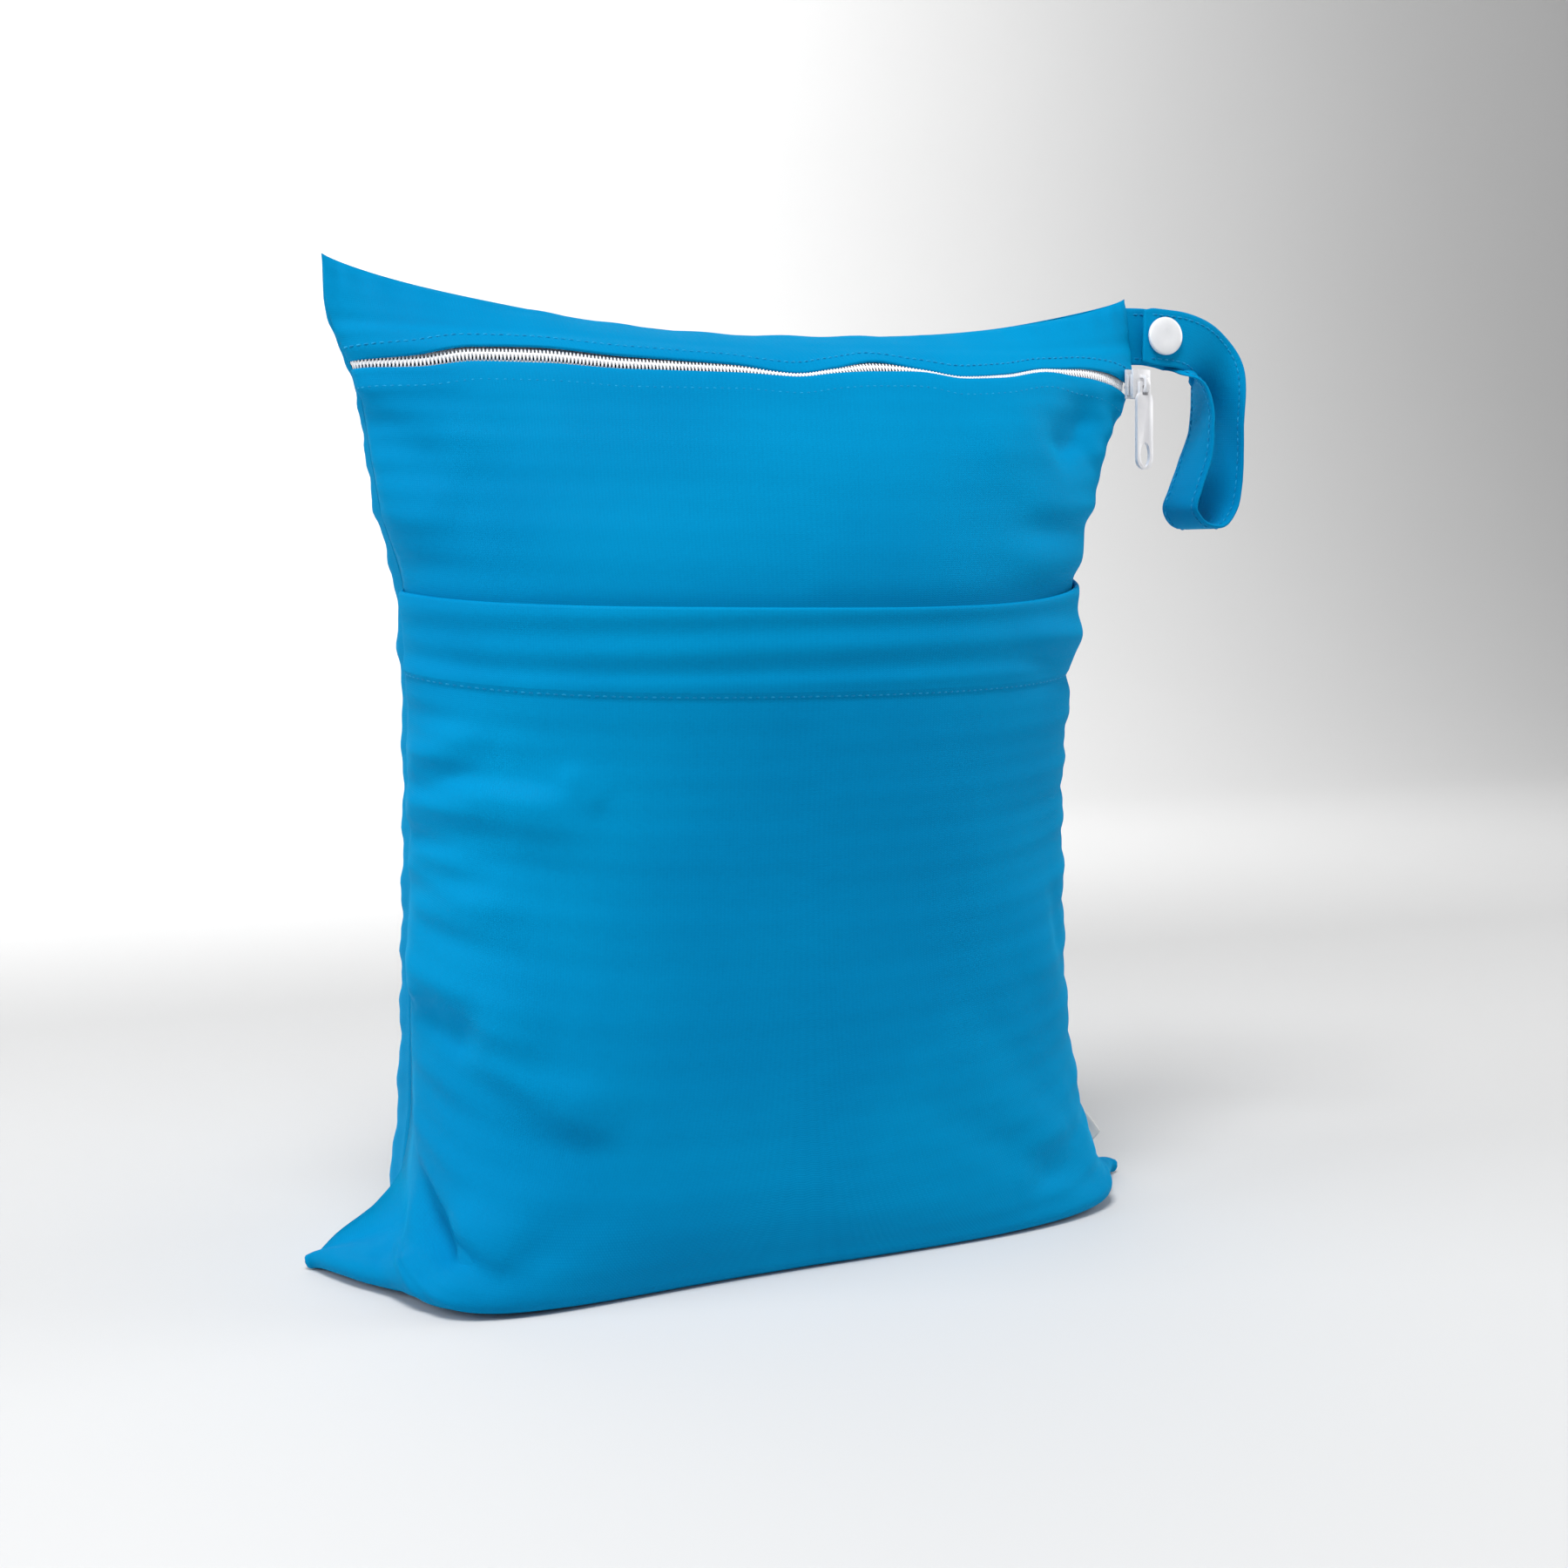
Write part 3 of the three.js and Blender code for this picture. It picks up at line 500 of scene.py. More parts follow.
@dataclass
class SettledCloth:
    """The folds that one side's cloth finds for itself between its seams, under the pressure of the stuffing.

    Its rest shape is the flat cut panel, so what the inflated form has too much of goes into folds. Only the
    folds are kept, not the general bulge, and no fold is higher than the cap.
    """

    side: Side
    low: float
    high: float
    columns: int = 70
    rows: int = 84
    frames: int = 25
    pressure: float = 6.0
    stretch: float = 5.0
    bending: float = 2.0
    finest: float = 0.8
    widest: float = 6.0
    cap: float = 2.2 * MM
    share: float = 0.7
    fade: float = 0.06
    side_fade: float = 12.0
    folds: Array = field(init=False)

    def run(self) -> None:
        """Simulates the cloth and keeps its folds."""
        across, along = np.meshgrid(steps(0.0, 1.0, self.columns), steps(self.low, self.high, self.rows))
        start = SHAPE.point(self.side, across, along, SHAPE.cloth / 2).reshape(-1, 3)
        wide = self.columns + 1
        faces = [
            (r * wide + c, r * wide + c + 1, (r + 1) * wide + c + 1, (r + 1) * wide + c)
            for r in range(self.rows)
            for c in range(self.columns)
        ]
        if self.side is Side.BACK:
            faces = [tuple(reversed(f)) for f in faces]
        mesh = bpy.data.meshes.new("settling")
        mesh.from_pydata([tuple(v) for v in start], [], faces)
        cloth = bpy.data.objects.new("settling", mesh)
        bpy.context.scene.collection.objects.link(cloth)
        cloth.shape_key_add(name="Basis")
        cut = cloth.shape_key_add(name="cut")
        away = np.full_like(across, 0.03 * self.side.value)
        flat = [(across - 0.5) * SHAPE.panel_width, away, along * SHAPE.panel_height]
        cut.data.foreach_set("co", np.stack(flat, axis=-1).ravel())
        cut.value = 0.0
        edge = (across <= 0) | (across >= 1) | (along <= self.low) | (along >= self.high)
        held = cloth.vertex_groups.new(name="held")
        held.add([int(i) for i in np.nonzero(edge.ravel())[0]], 1.0, "REPLACE")
        self.prepare(cloth.modifiers.new("cloth", "CLOTH"), cut)
        for frame_number in range(1, self.frames + 1):
            bpy.context.scene.frame_set(frame_number)
        shaped = cloth.evaluated_get(bpy.context.evaluated_depsgraph_get())
        end = np.zeros(len(start) * 3)
        shaped.to_mesh().vertices.foreach_get("co", end)
        moved = (end.reshape(-1, 3) - start).reshape(self.rows + 1, wide, 3)
        out = np.sum(moved * SHAPE.outward(self.side, across, along), axis=-1)
        shaped.to_mesh_clear()
        bpy.data.objects.remove(cloth)
        bpy.context.scene.frame_set(1)
        folds = blurred(out, self.finest) - blurred(out, self.widest)
        self.folds = self.share * np.clip(folds, -self.cap, self.cap)

    def prepare(self, modifier: bpy.types.ClothModifier, cut: bpy.types.ShapeKey) -> None:
        """Sets the cloth modifier up, with the flat cut as its rest shape and gravity off."""
        settings = modifier.settings
        settings.quality = 6
        settings.mass = 0.15
        settings.tension_stiffness = settings.compression_stiffness = self.stretch
        settings.shear_stiffness = self.stretch / 2
        settings.bending_stiffness = self.bending
        settings.bending_damping = 0.5
        settings.air_damping = 2.0
        settings.vertex_group_mass = "held"
        settings.use_pressure = True
        settings.uniform_pressure_force = self.pressure
        settings.effector_weights.gravity = 0.0
        settings.rest_shape_key = cut
        modifier.collision_settings.use_collision = False
        modifier.collision_settings.use_self_collision = False
        modifier.point_cache.frame_start = 1
        modifier.point_cache.frame_end = self.frames

    def height(self, across: Array, along: Array) -> Array:
        """Returns how far the folds lift the cloth there, in metres."""
        share = (along - self.low) / (self.high - self.low)
        row = np.clip(share, 0.0, 1.0) * self.rows
        column = np.clip(across, 0.0, 1.0) * self.columns
        r = np.minimum(row.astype(int), self.rows - 1)
        c = np.minimum(column.astype(int), self.columns - 1)
        below = mix(self.folds[r, c], self.folds[r, c + 1], column - c)
        above = mix(self.folds[r + 1, c], self.folds[r + 1, c + 1], column - c)
        inside = smooth(share / self.fade) * smooth((1 - share) / self.fade)
        inside = inside * smooth(self.side_fade * across) * smooth(self.side_fade * (1 - across))
        return mix(below, above, row - r) * inside


class Shade:
    """A shader socket whose arithmetic adds Math nodes."""

    def __init__(self, finish: "FinishGraph", socket: Any) -> None:
        """Wraps an output socket of that graph."""
        self.finish = finish
        self.socket = socket

    def _math(self, operation: str, first: Any, second: Any = None) -> "Shade":
        """Adds one Math node and returns its value."""
        values = {0: first} if second is None else {0: first, 1: second}
        return self.finish.node("ShaderNodeMath", {"operation": operation}, values)

    def __add__(self, other: Any) -> "Shade":
        """Returns the sum."""
        return self._math("ADD", self, other)

    def __sub__(self, other: Any) -> "Shade":
        """Returns the difference."""
        return self._math("SUBTRACT", self, other)

    def __rsub__(self, other: Any) -> "Shade":
        """Returns the reflected difference."""
        return self._math("SUBTRACT", other, self)

    def __mul__(self, other: Any) -> "Shade":
        """Returns the product."""
        return self._math("MULTIPLY", self, other)

    def __truediv__(self, other: Any) -> "Shade":
        """Returns the quotient."""
        return self._math("DIVIDE", self, other)

    def __abs__(self) -> "Shade":
        """Returns the distance from zero."""
        return self._math("ABSOLUTE", self)

    def sin(self) -> "Shade":
        """Returns the sine."""
        return self._math("SINE", self)

    def fraction(self) -> "Shade":
        """Returns what is left after the whole number."""
        return self._math("FRACT", self)

    def between(self, low: float, high: float, to_low: float = 0.0, to_high: float = 1.0) -> "Shade":
        """Returns the value stretched from one range to another, with soft ends."""
        sockets = {"Value": self, "From Min": low, "From Max": high, "To Min": to_low, "To Max": to_high}
        return self.finish.node("ShaderNodeMapRange", {"interpolation_type": "SMOOTHSTEP"}, sockets)


class FinishGraph:
    """One material's node tree around a Principled shader."""

    def __init__(self, name: str) -> None:
        """Starts an empty material of that name."""
        self.material = bpy.data.materials.new(name)
        self.material.use_nodes = True
        self.tree = self.material.node_tree
        self.shader = self.tree.nodes["Principled BSDF"]

    def node(self, kind: str, settings: dict[str, Any], sockets: dict[Any, Any], output: Any = 0) -> Shade:
        """Adds a node.

        Args:
            kind: the node's type.
            settings: its own settings, set before its sockets.
            sockets: values or links, by the socket's name or number.
            output: the output that is wanted.

        Returns:
            That output.
        """
        made = self.tree.nodes.new(kind)
        for key, value in settings.items():
            setattr(made, key, value)
        for key, value in sockets.items():
            self.feed(made.inputs[key], value)
        return Shade(self, made.outputs[output])

    def feed(self, socket: Any, value: Any) -> None:
        """Links or sets one input socket."""
        if isinstance(value, Shade):
            self.tree.links.new(value.socket, socket)
        else:
            socket.default_value = value

    def uv(self) -> tuple[Shade, Shade]:
        """Returns the cloth's own two directions, in metres of the cut."""
        where = self.node("ShaderNodeUVMap", {"uv_map": "cut"}, {})
        return self.part_of(where, 0), self.part_of(where, 1)

    def part_of(self, vector: Shade, axis: int) -> Shade:
        """Returns one number of a vector."""
        return self.node("ShaderNodeSeparateXYZ", {}, {0: vector}, axis)

    def place(self) -> Shade:
        """Returns the point on the piece, in metres."""
        return self.node("ShaderNodeTexCoord", {}, {}, "Object")

    def noise(self, scale: float, detail: float = 2.0, rough: float = 0.5) -> Shade:
        """Returns noise of that scale, by Object coordinates."""
        sockets = {"Vector": self.place(), "Scale": scale, "Detail": detail, "Roughness": rough}
        return self.node("ShaderNodeTexNoise", {}, sockets, "Fac")

    def blend(self, share: Any, first: Any, second: Any) -> Shade:
        """Returns two colours mixed by that share."""
        made = self.tree.nodes.new("ShaderNodeMix")
        made.data_type = "RGBA"
        self.feed(made.inputs[0], share)
        self.feed(made.inputs[6], first)
        self.feed(made.inputs[7], second)
        return Shade(self, made.outputs[2])

    def bump(self, height: Shade, distance: float) -> None:
        """Feeds the normal with that height, in metres."""
        sockets = {"Height": height, "Distance": distance, "Strength": 1.0}
        self.feed(self.shader.inputs["Normal"], self.node("ShaderNodeBump", {}, sockets, "Normal"))

    def set(self, **values: Any) -> None:
        """Sets the shader's own sockets; an underscore stands for a space."""
        for key, value in values.items():
            self.feed(self.shader.inputs[key.replace("_", " ")], value)


def rgb(red: float, green: float, blue: float) -> Colour:
    """Returns a colour with full alpha."""
    return (red, green, blue, 1.0)


@dataclass(frozen=True)
class KnitCloth:
    """The bag's coated knit: fine wales and courses, a soft sheen and gentle changes of shade."""

    name: str = "blue_knit"
    deep: Colour = rgb(0.0, 0.195, 0.44)
    bright: Colour = rgb(0.0, 0.27, 0.55)
    wale: float = 0.95 * MM
    course: float = 0.7 * MM
    relief: float = 0.10 * MM

    def make(self) -> bpy.types.Material:
        """Returns the finished material."""
        g = FinishGraph(self.name)
        u, v = g.uv()
        lean = abs((u / self.wale).fraction() - 0.5)
        loops = ((v / self.course + lean * 1.1) * (2 * math.pi)).sin() * 0.5 + 0.5
        ribs = 1 - lean * 2
        weave = loops * 0.55 + ribs * 0.45
        cloudy = g.noise(9.0, 3.0).between(0.35, 0.65)
        fibres = g.noise(900.0, 3.0, 0.7)
        tone = g.blend(cloudy * 0.5 + weave * 0.25 + fibres * 0.25, self.deep, self.bright)
        creases = g.noise(70.0, 4.0, 0.55)
        g.set(Base_Color=tone, Roughness=fibres.between(0.3, 0.7, 0.52, 0.66))
        g.set(Sheen_Weight=0.3, Sheen_Roughness=0.4, Sheen_Tint=rgb(0.0, 0.6, 1.0), Specular_IOR_Level=0.02)
        g.bump(weave * 0.6 + fibres * 0.4 + creases * 0.8, self.relief)
        return g.material


@dataclass(frozen=True)
class Thread:
    """Spun polyester thread with its twist."""

    name: str = "blue_thread"
    dark: Colour = rgb(0.0, 0.22, 0.48)
    light: Colour = rgb(0.01, 0.34, 0.64)
    twist: float = 1700.0

    def make(self) -> bpy.types.Material:
        """Returns the finished material."""
        g = FinishGraph(self.name)
        right, rise = g.part_of(g.place(), 0), g.part_of(g.place(), 2)
        plies = ((right + rise * 0.6) * self.twist).sin() * 0.5 + 0.5
        g.set(Base_Color=g.blend(plies, self.dark, self.light))
        g.set(Roughness=g.noise(600.0).between(0.3, 0.7, 0.45, 0.65))
        g.set(Sheen_Weight=0.05, Specular_IOR_Level=0.1)
        g.bump(plies, 0.05 * MM)
        return g.material


@dataclass(frozen=True)
class WovenTape:
    """White woven ribbon, for the zipper's tapes and the label."""

    name: str = "white_tape"
    shadow: Colour = rgb(0.80, 0.81, 0.84)
    face: Colour = rgb(0.93, 0.94, 0.95)
    rib: float = 0.55 * MM

    def make(self) -> bpy.types.Material:
        """Returns the finished material."""
        g = FinishGraph(self.name)
        u, v = g.uv()
        warp = (u * (2 * math.pi / self.rib)).sin()
        weft = (v * (2 * math.pi / (self.rib * 0.8)) + warp * 1.2).sin()
        weave = weft * 0.35 + warp * 0.15 + 0.5
        worn = g.noise(60.0, 3.0)
        g.set(Base_Color=g.blend(weave * 0.6 + worn * 0.4, self.shadow, self.face))
        g.set(Roughness=worn.between(0.3, 0.7, 0.6, 0.75), Sheen_Weight=0.15)
        g.bump(weave, 0.09 * MM)
        return g.material


@dataclass(frozen=True)
class MouldedWhite:
    """A white hard surface: nylon coil, enamelled metal or glossy resin, by its gloss."""

    name: str
    face: Colour
    shade: Colour
    rough: float
    grain: float
    depth: float
    metal: float = 0.0
    coat: float = 0.0

    def make(self) -> bpy.types.Material:
        """Returns the finished material."""
        g = FinishGraph(self.name)
        speckle = g.noise(self.grain, 3.0, 0.6)
        smudge = g.noise(120.0, 2.0)
        g.set(Base_Color=g.blend(smudge.between(0.35, 0.75), self.face, self.shade))
        g.set(Roughness=smudge.between(0.3, 0.7, self.rough * 0.85, self.rough * 1.2))
        g.set(Metallic=self.metal, Coat_Weight=self.coat, Coat_Roughness=0.12)
        g.bump(speckle, self.depth)
        return g.material


BLUE = KnitCloth().make()
THREAD = Thread().make()
TAPE = WovenTape().make()
LABEL = WovenTape("label_satin", rgb(0.62, 0.61, 0.58), rgb(0.88, 0.87, 0.83), 0.4 * MM).make()
COIL = MouldedWhite("white_coil", rgb(0.93, 0.93, 0.94), rgb(0.84, 0.85, 0.87), 0.42, 900.0, 0.02 * MM).make()
ENAMEL = MouldedWhite(
    "white_enamel", rgb(0.80, 0.80, 0.82), rgb(0.72, 0.72, 0.75), 0.3, 700.0, 0.02 * MM, metal=0.1, coat=0.4
).make()
RESIN = MouldedWhite(
    "white_resin", rgb(0.86, 0.87, 0.89), rgb(0.80, 0.81, 0.84), 0.22, 500.0, 0.012 * MM, coat=0.6
).make()


def object_of(name: str, verts: Sequence[Any], faces: Sequence[Any], material: bpy.types.Material) -> Thing:
    """Makes a smooth mesh object at the origin.

    Args:
        name: the piece's name.
        verts: its points, in metres.
        faces: the points of each face, outwards.
        material: its finish.

    Returns:
        The new object.
    """
    mesh = bpy.data.meshes.new(name)
    mesh.from_pydata([tuple(v) for v in verts], [], [tuple(int(i) for i in f) for f in faces])
    mesh.materials.append(material)
    mesh.shade_smooth()
    made = bpy.data.objects.new(name, mesh)
    bpy.context.scene.collection.objects.link(made)
    return made


def lay_uv(piece: Thing, cut: Array) -> None:
    """Gives the piece the UV map "cut" from one pair of metres for each point."""
    layer = piece.data.uv_layers.new(name="cut")
    loops = np.zeros(len(piece.data.loops), np.int64)
    piece.data.loops.foreach_get("vertex_index", loops)
    layer.data.foreach_set("uv", cut[loops].astype(np.float32).ravel())


def tube_faces(rings: int, around: int) -> list[tuple[int, ...]]:
    """Returns the faces of rings of points joined into a tube, with its two ends closed."""
    faces = []
    for r in range(rings - 1):
        for k in range(around):
            n = (k + 1) % around
            a, b = r * around, (r + 1) * around
            faces.append((a + k, a + n, b + n, b + k))
    faces.append(tuple(reversed(range(around))))
    faces.append(tuple((rings - 1) * around + k for k in range(around)))
    return faces


def round_section(middle: Array, first: Array, second: Array, radius: float) -> list[Array]:
    """Returns six points round a thread's or wire's middle, in the plane of two directions."""
    turns = [math.radians(60 * k) for k in range(6)]
    return [middle + (first * math.cos(t) + second * math.sin(t)) * radius for t in turns]


def join_tubes(name: str, tubes: Sequence[list[Array]], material: bpy.types.Material) -> Thing:
    """Makes one object of many short tubes, each given by its six-sided sections one after another."""
    verts: list[Array] = []
    faces: list[tuple[int, ...]] = []
    for tube in tubes:
        faces.extend(tuple(i + len(verts) for i in f) for f in tube_faces(len(tube) // 6, 6))
        verts.extend(tube)
    piece = object_of(name, verts, faces, material)
    face_outwards(piece)
    return piece


def declare(piece: Thing, node: str | None = None, body: Body = Body.BAG) -> None:
    """Declares what a piece rides on, and the CAD node that it replaces, if any."""
    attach(piece, body.value)
    if node:
        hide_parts(node)


def dress(piece: Thing, material: bpy.types.Material) -> None:
    """Gives a piece that finish alone."""
    piece.data.materials.clear()
    piece.data.materials.append(material)


def round_edges(piece: Thing, width: float, sharp: float) -> None:
    """Rounds the edges of the active object that turn by more than sharp degrees."""
    rounding = piece.modifiers.new("rounding", "BEVEL")
    rounding.width = width
    rounding.segments = 3
    rounding.limit_method = "ANGLE"
    rounding.angle_limit = math.radians(sharp)
    bpy.ops.object.modifier_apply(modifier="rounding")


@dataclass
class ClothPiece:
    """One cut of cloth with its folded edges, as a closed wall along one side of the bag.

    rows runs up the inner face, round the upper edge and down the outer face: each is a pair of arrays over the
    columns, the places along the panel and the distances outside the panel's inner face.
    """

    name: str
    side: Side
    acrosses: Array
    rows: Rows
    flat: tuple[float, float]
    node: str
    material: bpy.types.Material = BLUE

    def build(self) -> None:
        columns = len(self.acrosses)
        along = np.array([np.broadcast_to(a, columns) for a, _ in self.rows])
        out = np.array([np.broadcast_to(o, columns) for _, o in self.rows])
        across = np.broadcast_to(self.acrosses, along.shape)
        points = SHAPE.point(self.side, across, along, out).reshape(-1, 3)
        count = len(self.rows)
        faces = []
        for r in range(count):
            n = (r + 1) % count
            for c in range(columns - 1):
                faces.append((r * columns + c, n * columns + c, n * columns + c + 1, r * columns + c + 1))
        last = columns - 1
        for a in range(count // 2):
            b = count - 1 - a
            if b - a < 2:
                break
            left = [row * columns for row in (a, b, b - 1, a + 1)]
            right = [row * columns + last for row in (a, a + 1, b - 1, b)]
            faces += [tuple(dict.fromkeys(corners)) for corners in (left, right)]
        if self.side is Side.BACK:
            faces = [tuple(reversed(f)) for f in faces]
        piece = object_of(self.name, points, faces, self.material)
        cut = np.stack([across * SHAPE.panel_width, along * SHAPE.panel_height], axis=-1).reshape(-1, 2)
        lay_uv(piece, cut)
        face_outwards(piece)
        declare(piece, self.node)


def face_outwards(piece: Thing) -> None:
    """Merges a mesh's doubles and points its faces outwards."""
    shape = bmesh.new()
    shape.from_mesh(piece.data)
    bmesh.ops.remove_doubles(shape, verts=shape.verts, dist=0.002 * MM)
    bmesh.ops.recalc_face_normals(shape, faces=shape.faces)
    shape.to_mesh(piece.data)
    shape.free()
    piece.data.shade_smooth()


def taper(across: Array) -> Array:
    """Returns how much of its thickness the cloth shows there, because a seam draws it thin."""
    return mix(0.1, 1.0, smooth(arch(across) / 0.10))


# The zipper from left to right: share of its length, how far it strays up and how far its lips part, in mm.
ZIP_ROWS = (
    (0, -3, 3),
    (0.06, -2, 5),
    (0.13, 1.5, 6.5),
    (0.2, 2, 7.4),
    (0.3, 0, 6.2),
    (0.42, 0, 4.4),
    (0.5, -2, 1.6),
    (0.55, 1, 2.6),
    (0.61, 4, 5.6),
    (0.67, 2, 1.2),
    (0.72, -1, 0.5),
    (0.78, 0.5, 1.2),
    (0.85, 4.5, 1.4),
    (0.9, 4, 4.0),
    (0.95, 2, 5.0),
    (1, -3, 5.4),
)


@dataclass
class Zipline:
    """Where the zipper runs over the front, how it waves, and how far its lips part."""

    upper_lip: float = 1 - 29 * MM / PANEL_HEIGHT
    lower_lip: float = 1 - 36.2 * MM / PANEL_HEIGHT
    seam_square: float = 2.15
    least_part: float = 0.2

    def __post_init__(self) -> None:
        """Turns the table into curves."""
        shares, waves, parts = zip(*ZIP_ROWS)
        self.waves, self.parts = SmoothColumn(shares, waves), SmoothColumn(shares, parts)

    def share(self, across: Array) -> Array:
        """Returns how far from the left end of the zipper a place across the panel is."""
        turn = math.pi * (1 - across)
        return (np.sign(np.cos(turn)) * np.abs(np.cos(turn)) ** (2 / self.seam_square) + 1) / 2

    def wave(self, across: Array) -> Array:
        """Returns how far the zipper strays up the panel there, as a share of its height."""
        return self.waves(self.share(across)) * MM / SHAPE.panel_height

    def part(self, across: Array) -> Array:
        """Returns how far its lips stand apart, in metres."""
        return np.maximum(self.parts(self.share(across)), self.least_part) * MM

    def middle(self, across: Array) -> Array:
        """Returns the chain's place along the panel."""
        return (self.upper_lip + self.lower_lip) / 2 + self.wave(across)

    def lower(self, across: Array) -> Array:
        """Returns the lower lip's place along the panel."""
        return self.middle(across) - (0.4 * MM + 0.45 * self.part(across)) / SHAPE.panel_height

    def upper(self, across: Array) -> Array:
        """Returns the upper lip's place along the panel."""
        return self.middle(across) + (0.1 * MM + 0.3 * self.part(across)) / SHAPE.panel_height

    def lift(self, across: Array) -> Array:
        """Returns how far the upper lip stands up from the chain, in metres."""
        return 0.16 * self.part(across)


ZIPLINE = Zipline()


@dataclass
class BagBody:
    """The bag itself: front, strip above the zipper, back, and the open pocket with its turned hem."""

    columns: int = 176
    mouth: float = 260 * MM / PANEL_HEIGHT
    hem: float = 233.5 * MM / PANEL_HEIGHT
    mouth_gape: float = 9 * MM
    gape_reach: float = 95 * MM
    lip: float = 0.4 * MM
    rim: float = 0.6 * MM / PANEL_HEIGHT
    thinned: float = 0.2

    def __post_init__(self) -> None:
        """Spaces the columns, closer together beside the seams."""
        plain = steps(0.0, 1.0, self.columns)
        self.acrosses = plain - 0.02 * np.sin(2 * math.pi * plain)

    def edge(self, at: Array, middle: Array, half: Array, facing: int) -> Rows:
        """Returns rows that round a folded edge.

        Args:
            at: the edge's place along the panel.
            middle: the middle of the fold, outside the panel's inner face.
            half: half of the fold's thickness.
            facing: 1 for an edge that ends a piece upwards, -1 downwards.

        Returns:
            The rows from the inner face round to the outer one.
        """
        turns = np.radians([-60, -30, 0, 30, 60])
        step = facing * half / SHAPE.panel_height
        return [(at - (1 - math.cos(t)) * step, middle + half * math.sin(t)) for t in turns]

    def stand_off(self, across: Array, along: Array) -> Array:
        """Returns how far the pocket's inner face lies outside the front panel's inner face."""
        below = (self.mouth - along) * SHAPE.panel_height / self.gape_reach
        opened = np.maximum(0.0, 1 - below) ** 1.6 * np.sin(math.pi * across) ** 3
        return SHAPE.cloth + SHAPE.sewn_gap + (self.mouth_gape - SHAPE.sewn_gap) * opened

    def build(self) -> None:
        """Builds the four cloth pieces."""
        self.front()
        self.strip()
        self.back()
        self.pocket()

    def front(self) -> None:
        """Builds the front, whose upper edge is the zipper's lower lip."""
        a, thin = self.acrosses, taper(self.acrosses)
        cloth = SHAPE.cloth
        lower = ZIPLINE.lower(a)
        alongs = np.concatenate([steps(0.0, 0.6, 24), steps(0.6, 1.0, 72)[1:]])
        up, down = [], []
        for along in alongs:
            turned = smooth((along - 1) * lower * SHAPE.panel_height / (1.6 * MM) + 5.4)
            place = (lower - self.rim) * along
            up.append((place, 0.0 * thin))
            down.append((place, (cloth + self.lip * turned) * thin))
        half = 0.5 * (cloth + self.lip) * thin
        rim = self.edge(lower, half, half, 1)
        rows = [*up, *rim, *reversed(down)]
        ClothPiece("front_cloth", Side.FRONT, a, rows, (0.3, 0.343), "front_panel").build()

    def strip(self) -> None:
        """Builds the strip above the zipper, whose lower edge is the upper lip."""
        a, thin = self.acrosses, taper(self.acrosses)
        cloth, upper, lift = SHAPE.cloth, ZIPLINE.upper(a), ZIPLINE.lift(a)
        inner, outer = [], []
        for t in steps(0.0, 1.0, 26):
            place, stand = mix(upper + self.rim, 1.0, t), lift * (1 - smooth(2.5 * t))
            inner.append((place, stand))
            outer.append((place, stand + cloth * thin * mix(1.0, self.thinned, smooth((t - 0.9) / 0.1))))
        lip = self.edge(upper, lift + 0.5 * cloth * thin, 0.5 * cloth * thin, -1)
        rows = [*reversed(outer), *reversed(lip), *inner]
        ClothPiece("strip_cloth", Side.FRONT, a, rows, (0.3, 0.031), "top_strip").build()

    def back(self) -> None:
        """Builds the back in one piece."""
        a, thin = self.acrosses, taper(self.acrosses)
        inner, outer = [], []
        for t in steps(0.0, 1.0, 190):
            place = np.full_like(a, t)
            inner.append((place, 0.0 * thin))
            outer.append((place, SHAPE.cloth * thin * mix(1.0, self.thinned, smooth((t - 0.985) / 0.015))))
        rows = [*inner, *reversed(outer)]
        ClothPiece("back_cloth", Side.BACK, a, rows, (0.3, 0.378), "back_panel").build()

    def hem_thickness(self, across: Array, along: float) -> Array:
        """Returns the pocket's thickness there, with the hem above the stitches and its waves."""
        above = (along - self.hem) * SHAPE.panel_height
        turned = smooth(above / (1.2 * MM) + 1.2)
        sewn = math.exp(-(((above + 1.06 * MM) / (0.7 * MM)) ** 2))
        room = smooth(above / (5 * MM)) * smooth((self.mouth - along) * SHAPE.panel_height / (4 * MM))
        waves = np.cos(2 * math.pi * above / (12.5 * MM) + 0.9 * np.sin(7 * across) - 0.4)
        layers = SHAPE.cloth * (1 + 0.62 * turned)
        return layers - 0.35 * MM * sewn + 0.55 * MM * room * waves * np.sin(math.pi * across)

    def pocket(self) -> None:
        """Builds the pocket, whose hem is two layers thick."""
        a, thin = self.acrosses, taper(self.acrosses)
        places = np.concatenate([steps(0.0, self.hem, 150), steps(self.hem + 0.0012, self.mouth - 0.003, 24)])

        def face(t: float) -> Array:
            """Returns the inner face's distance there."""
            return self.stand_off(a, np.full_like(a, t)) * thin

        inner = [(np.full_like(a, t), face(t)) for t in places]
        outer = [(p, o + self.hem_thickness(a, t) * thin) for (p, o), t in zip(inner, places)]
        half = 0.5 * self.hem_thickness(a, self.mouth) * thin
        rim = self.edge(np.full_like(a, self.mouth), face(self.mouth) + half, half, 1)
        rows = [*inner, *rim, *reversed(outer)]
        ClothPiece("pocket_cloth", Side.FRONT, a, rows, (0.3, 0.262), "pocket_panel").build()


# One stitch: how far along it each section lies, its height over the cloth in threads, and its thickness.
STITCH_SECTIONS = ((0.0, -0.9, 0.55), (0.18, 0.25, 1.0), (0.5, 0.7, 1.12), (0.82, 0.25, 1.0), (1.0, -0.9, 0.55))


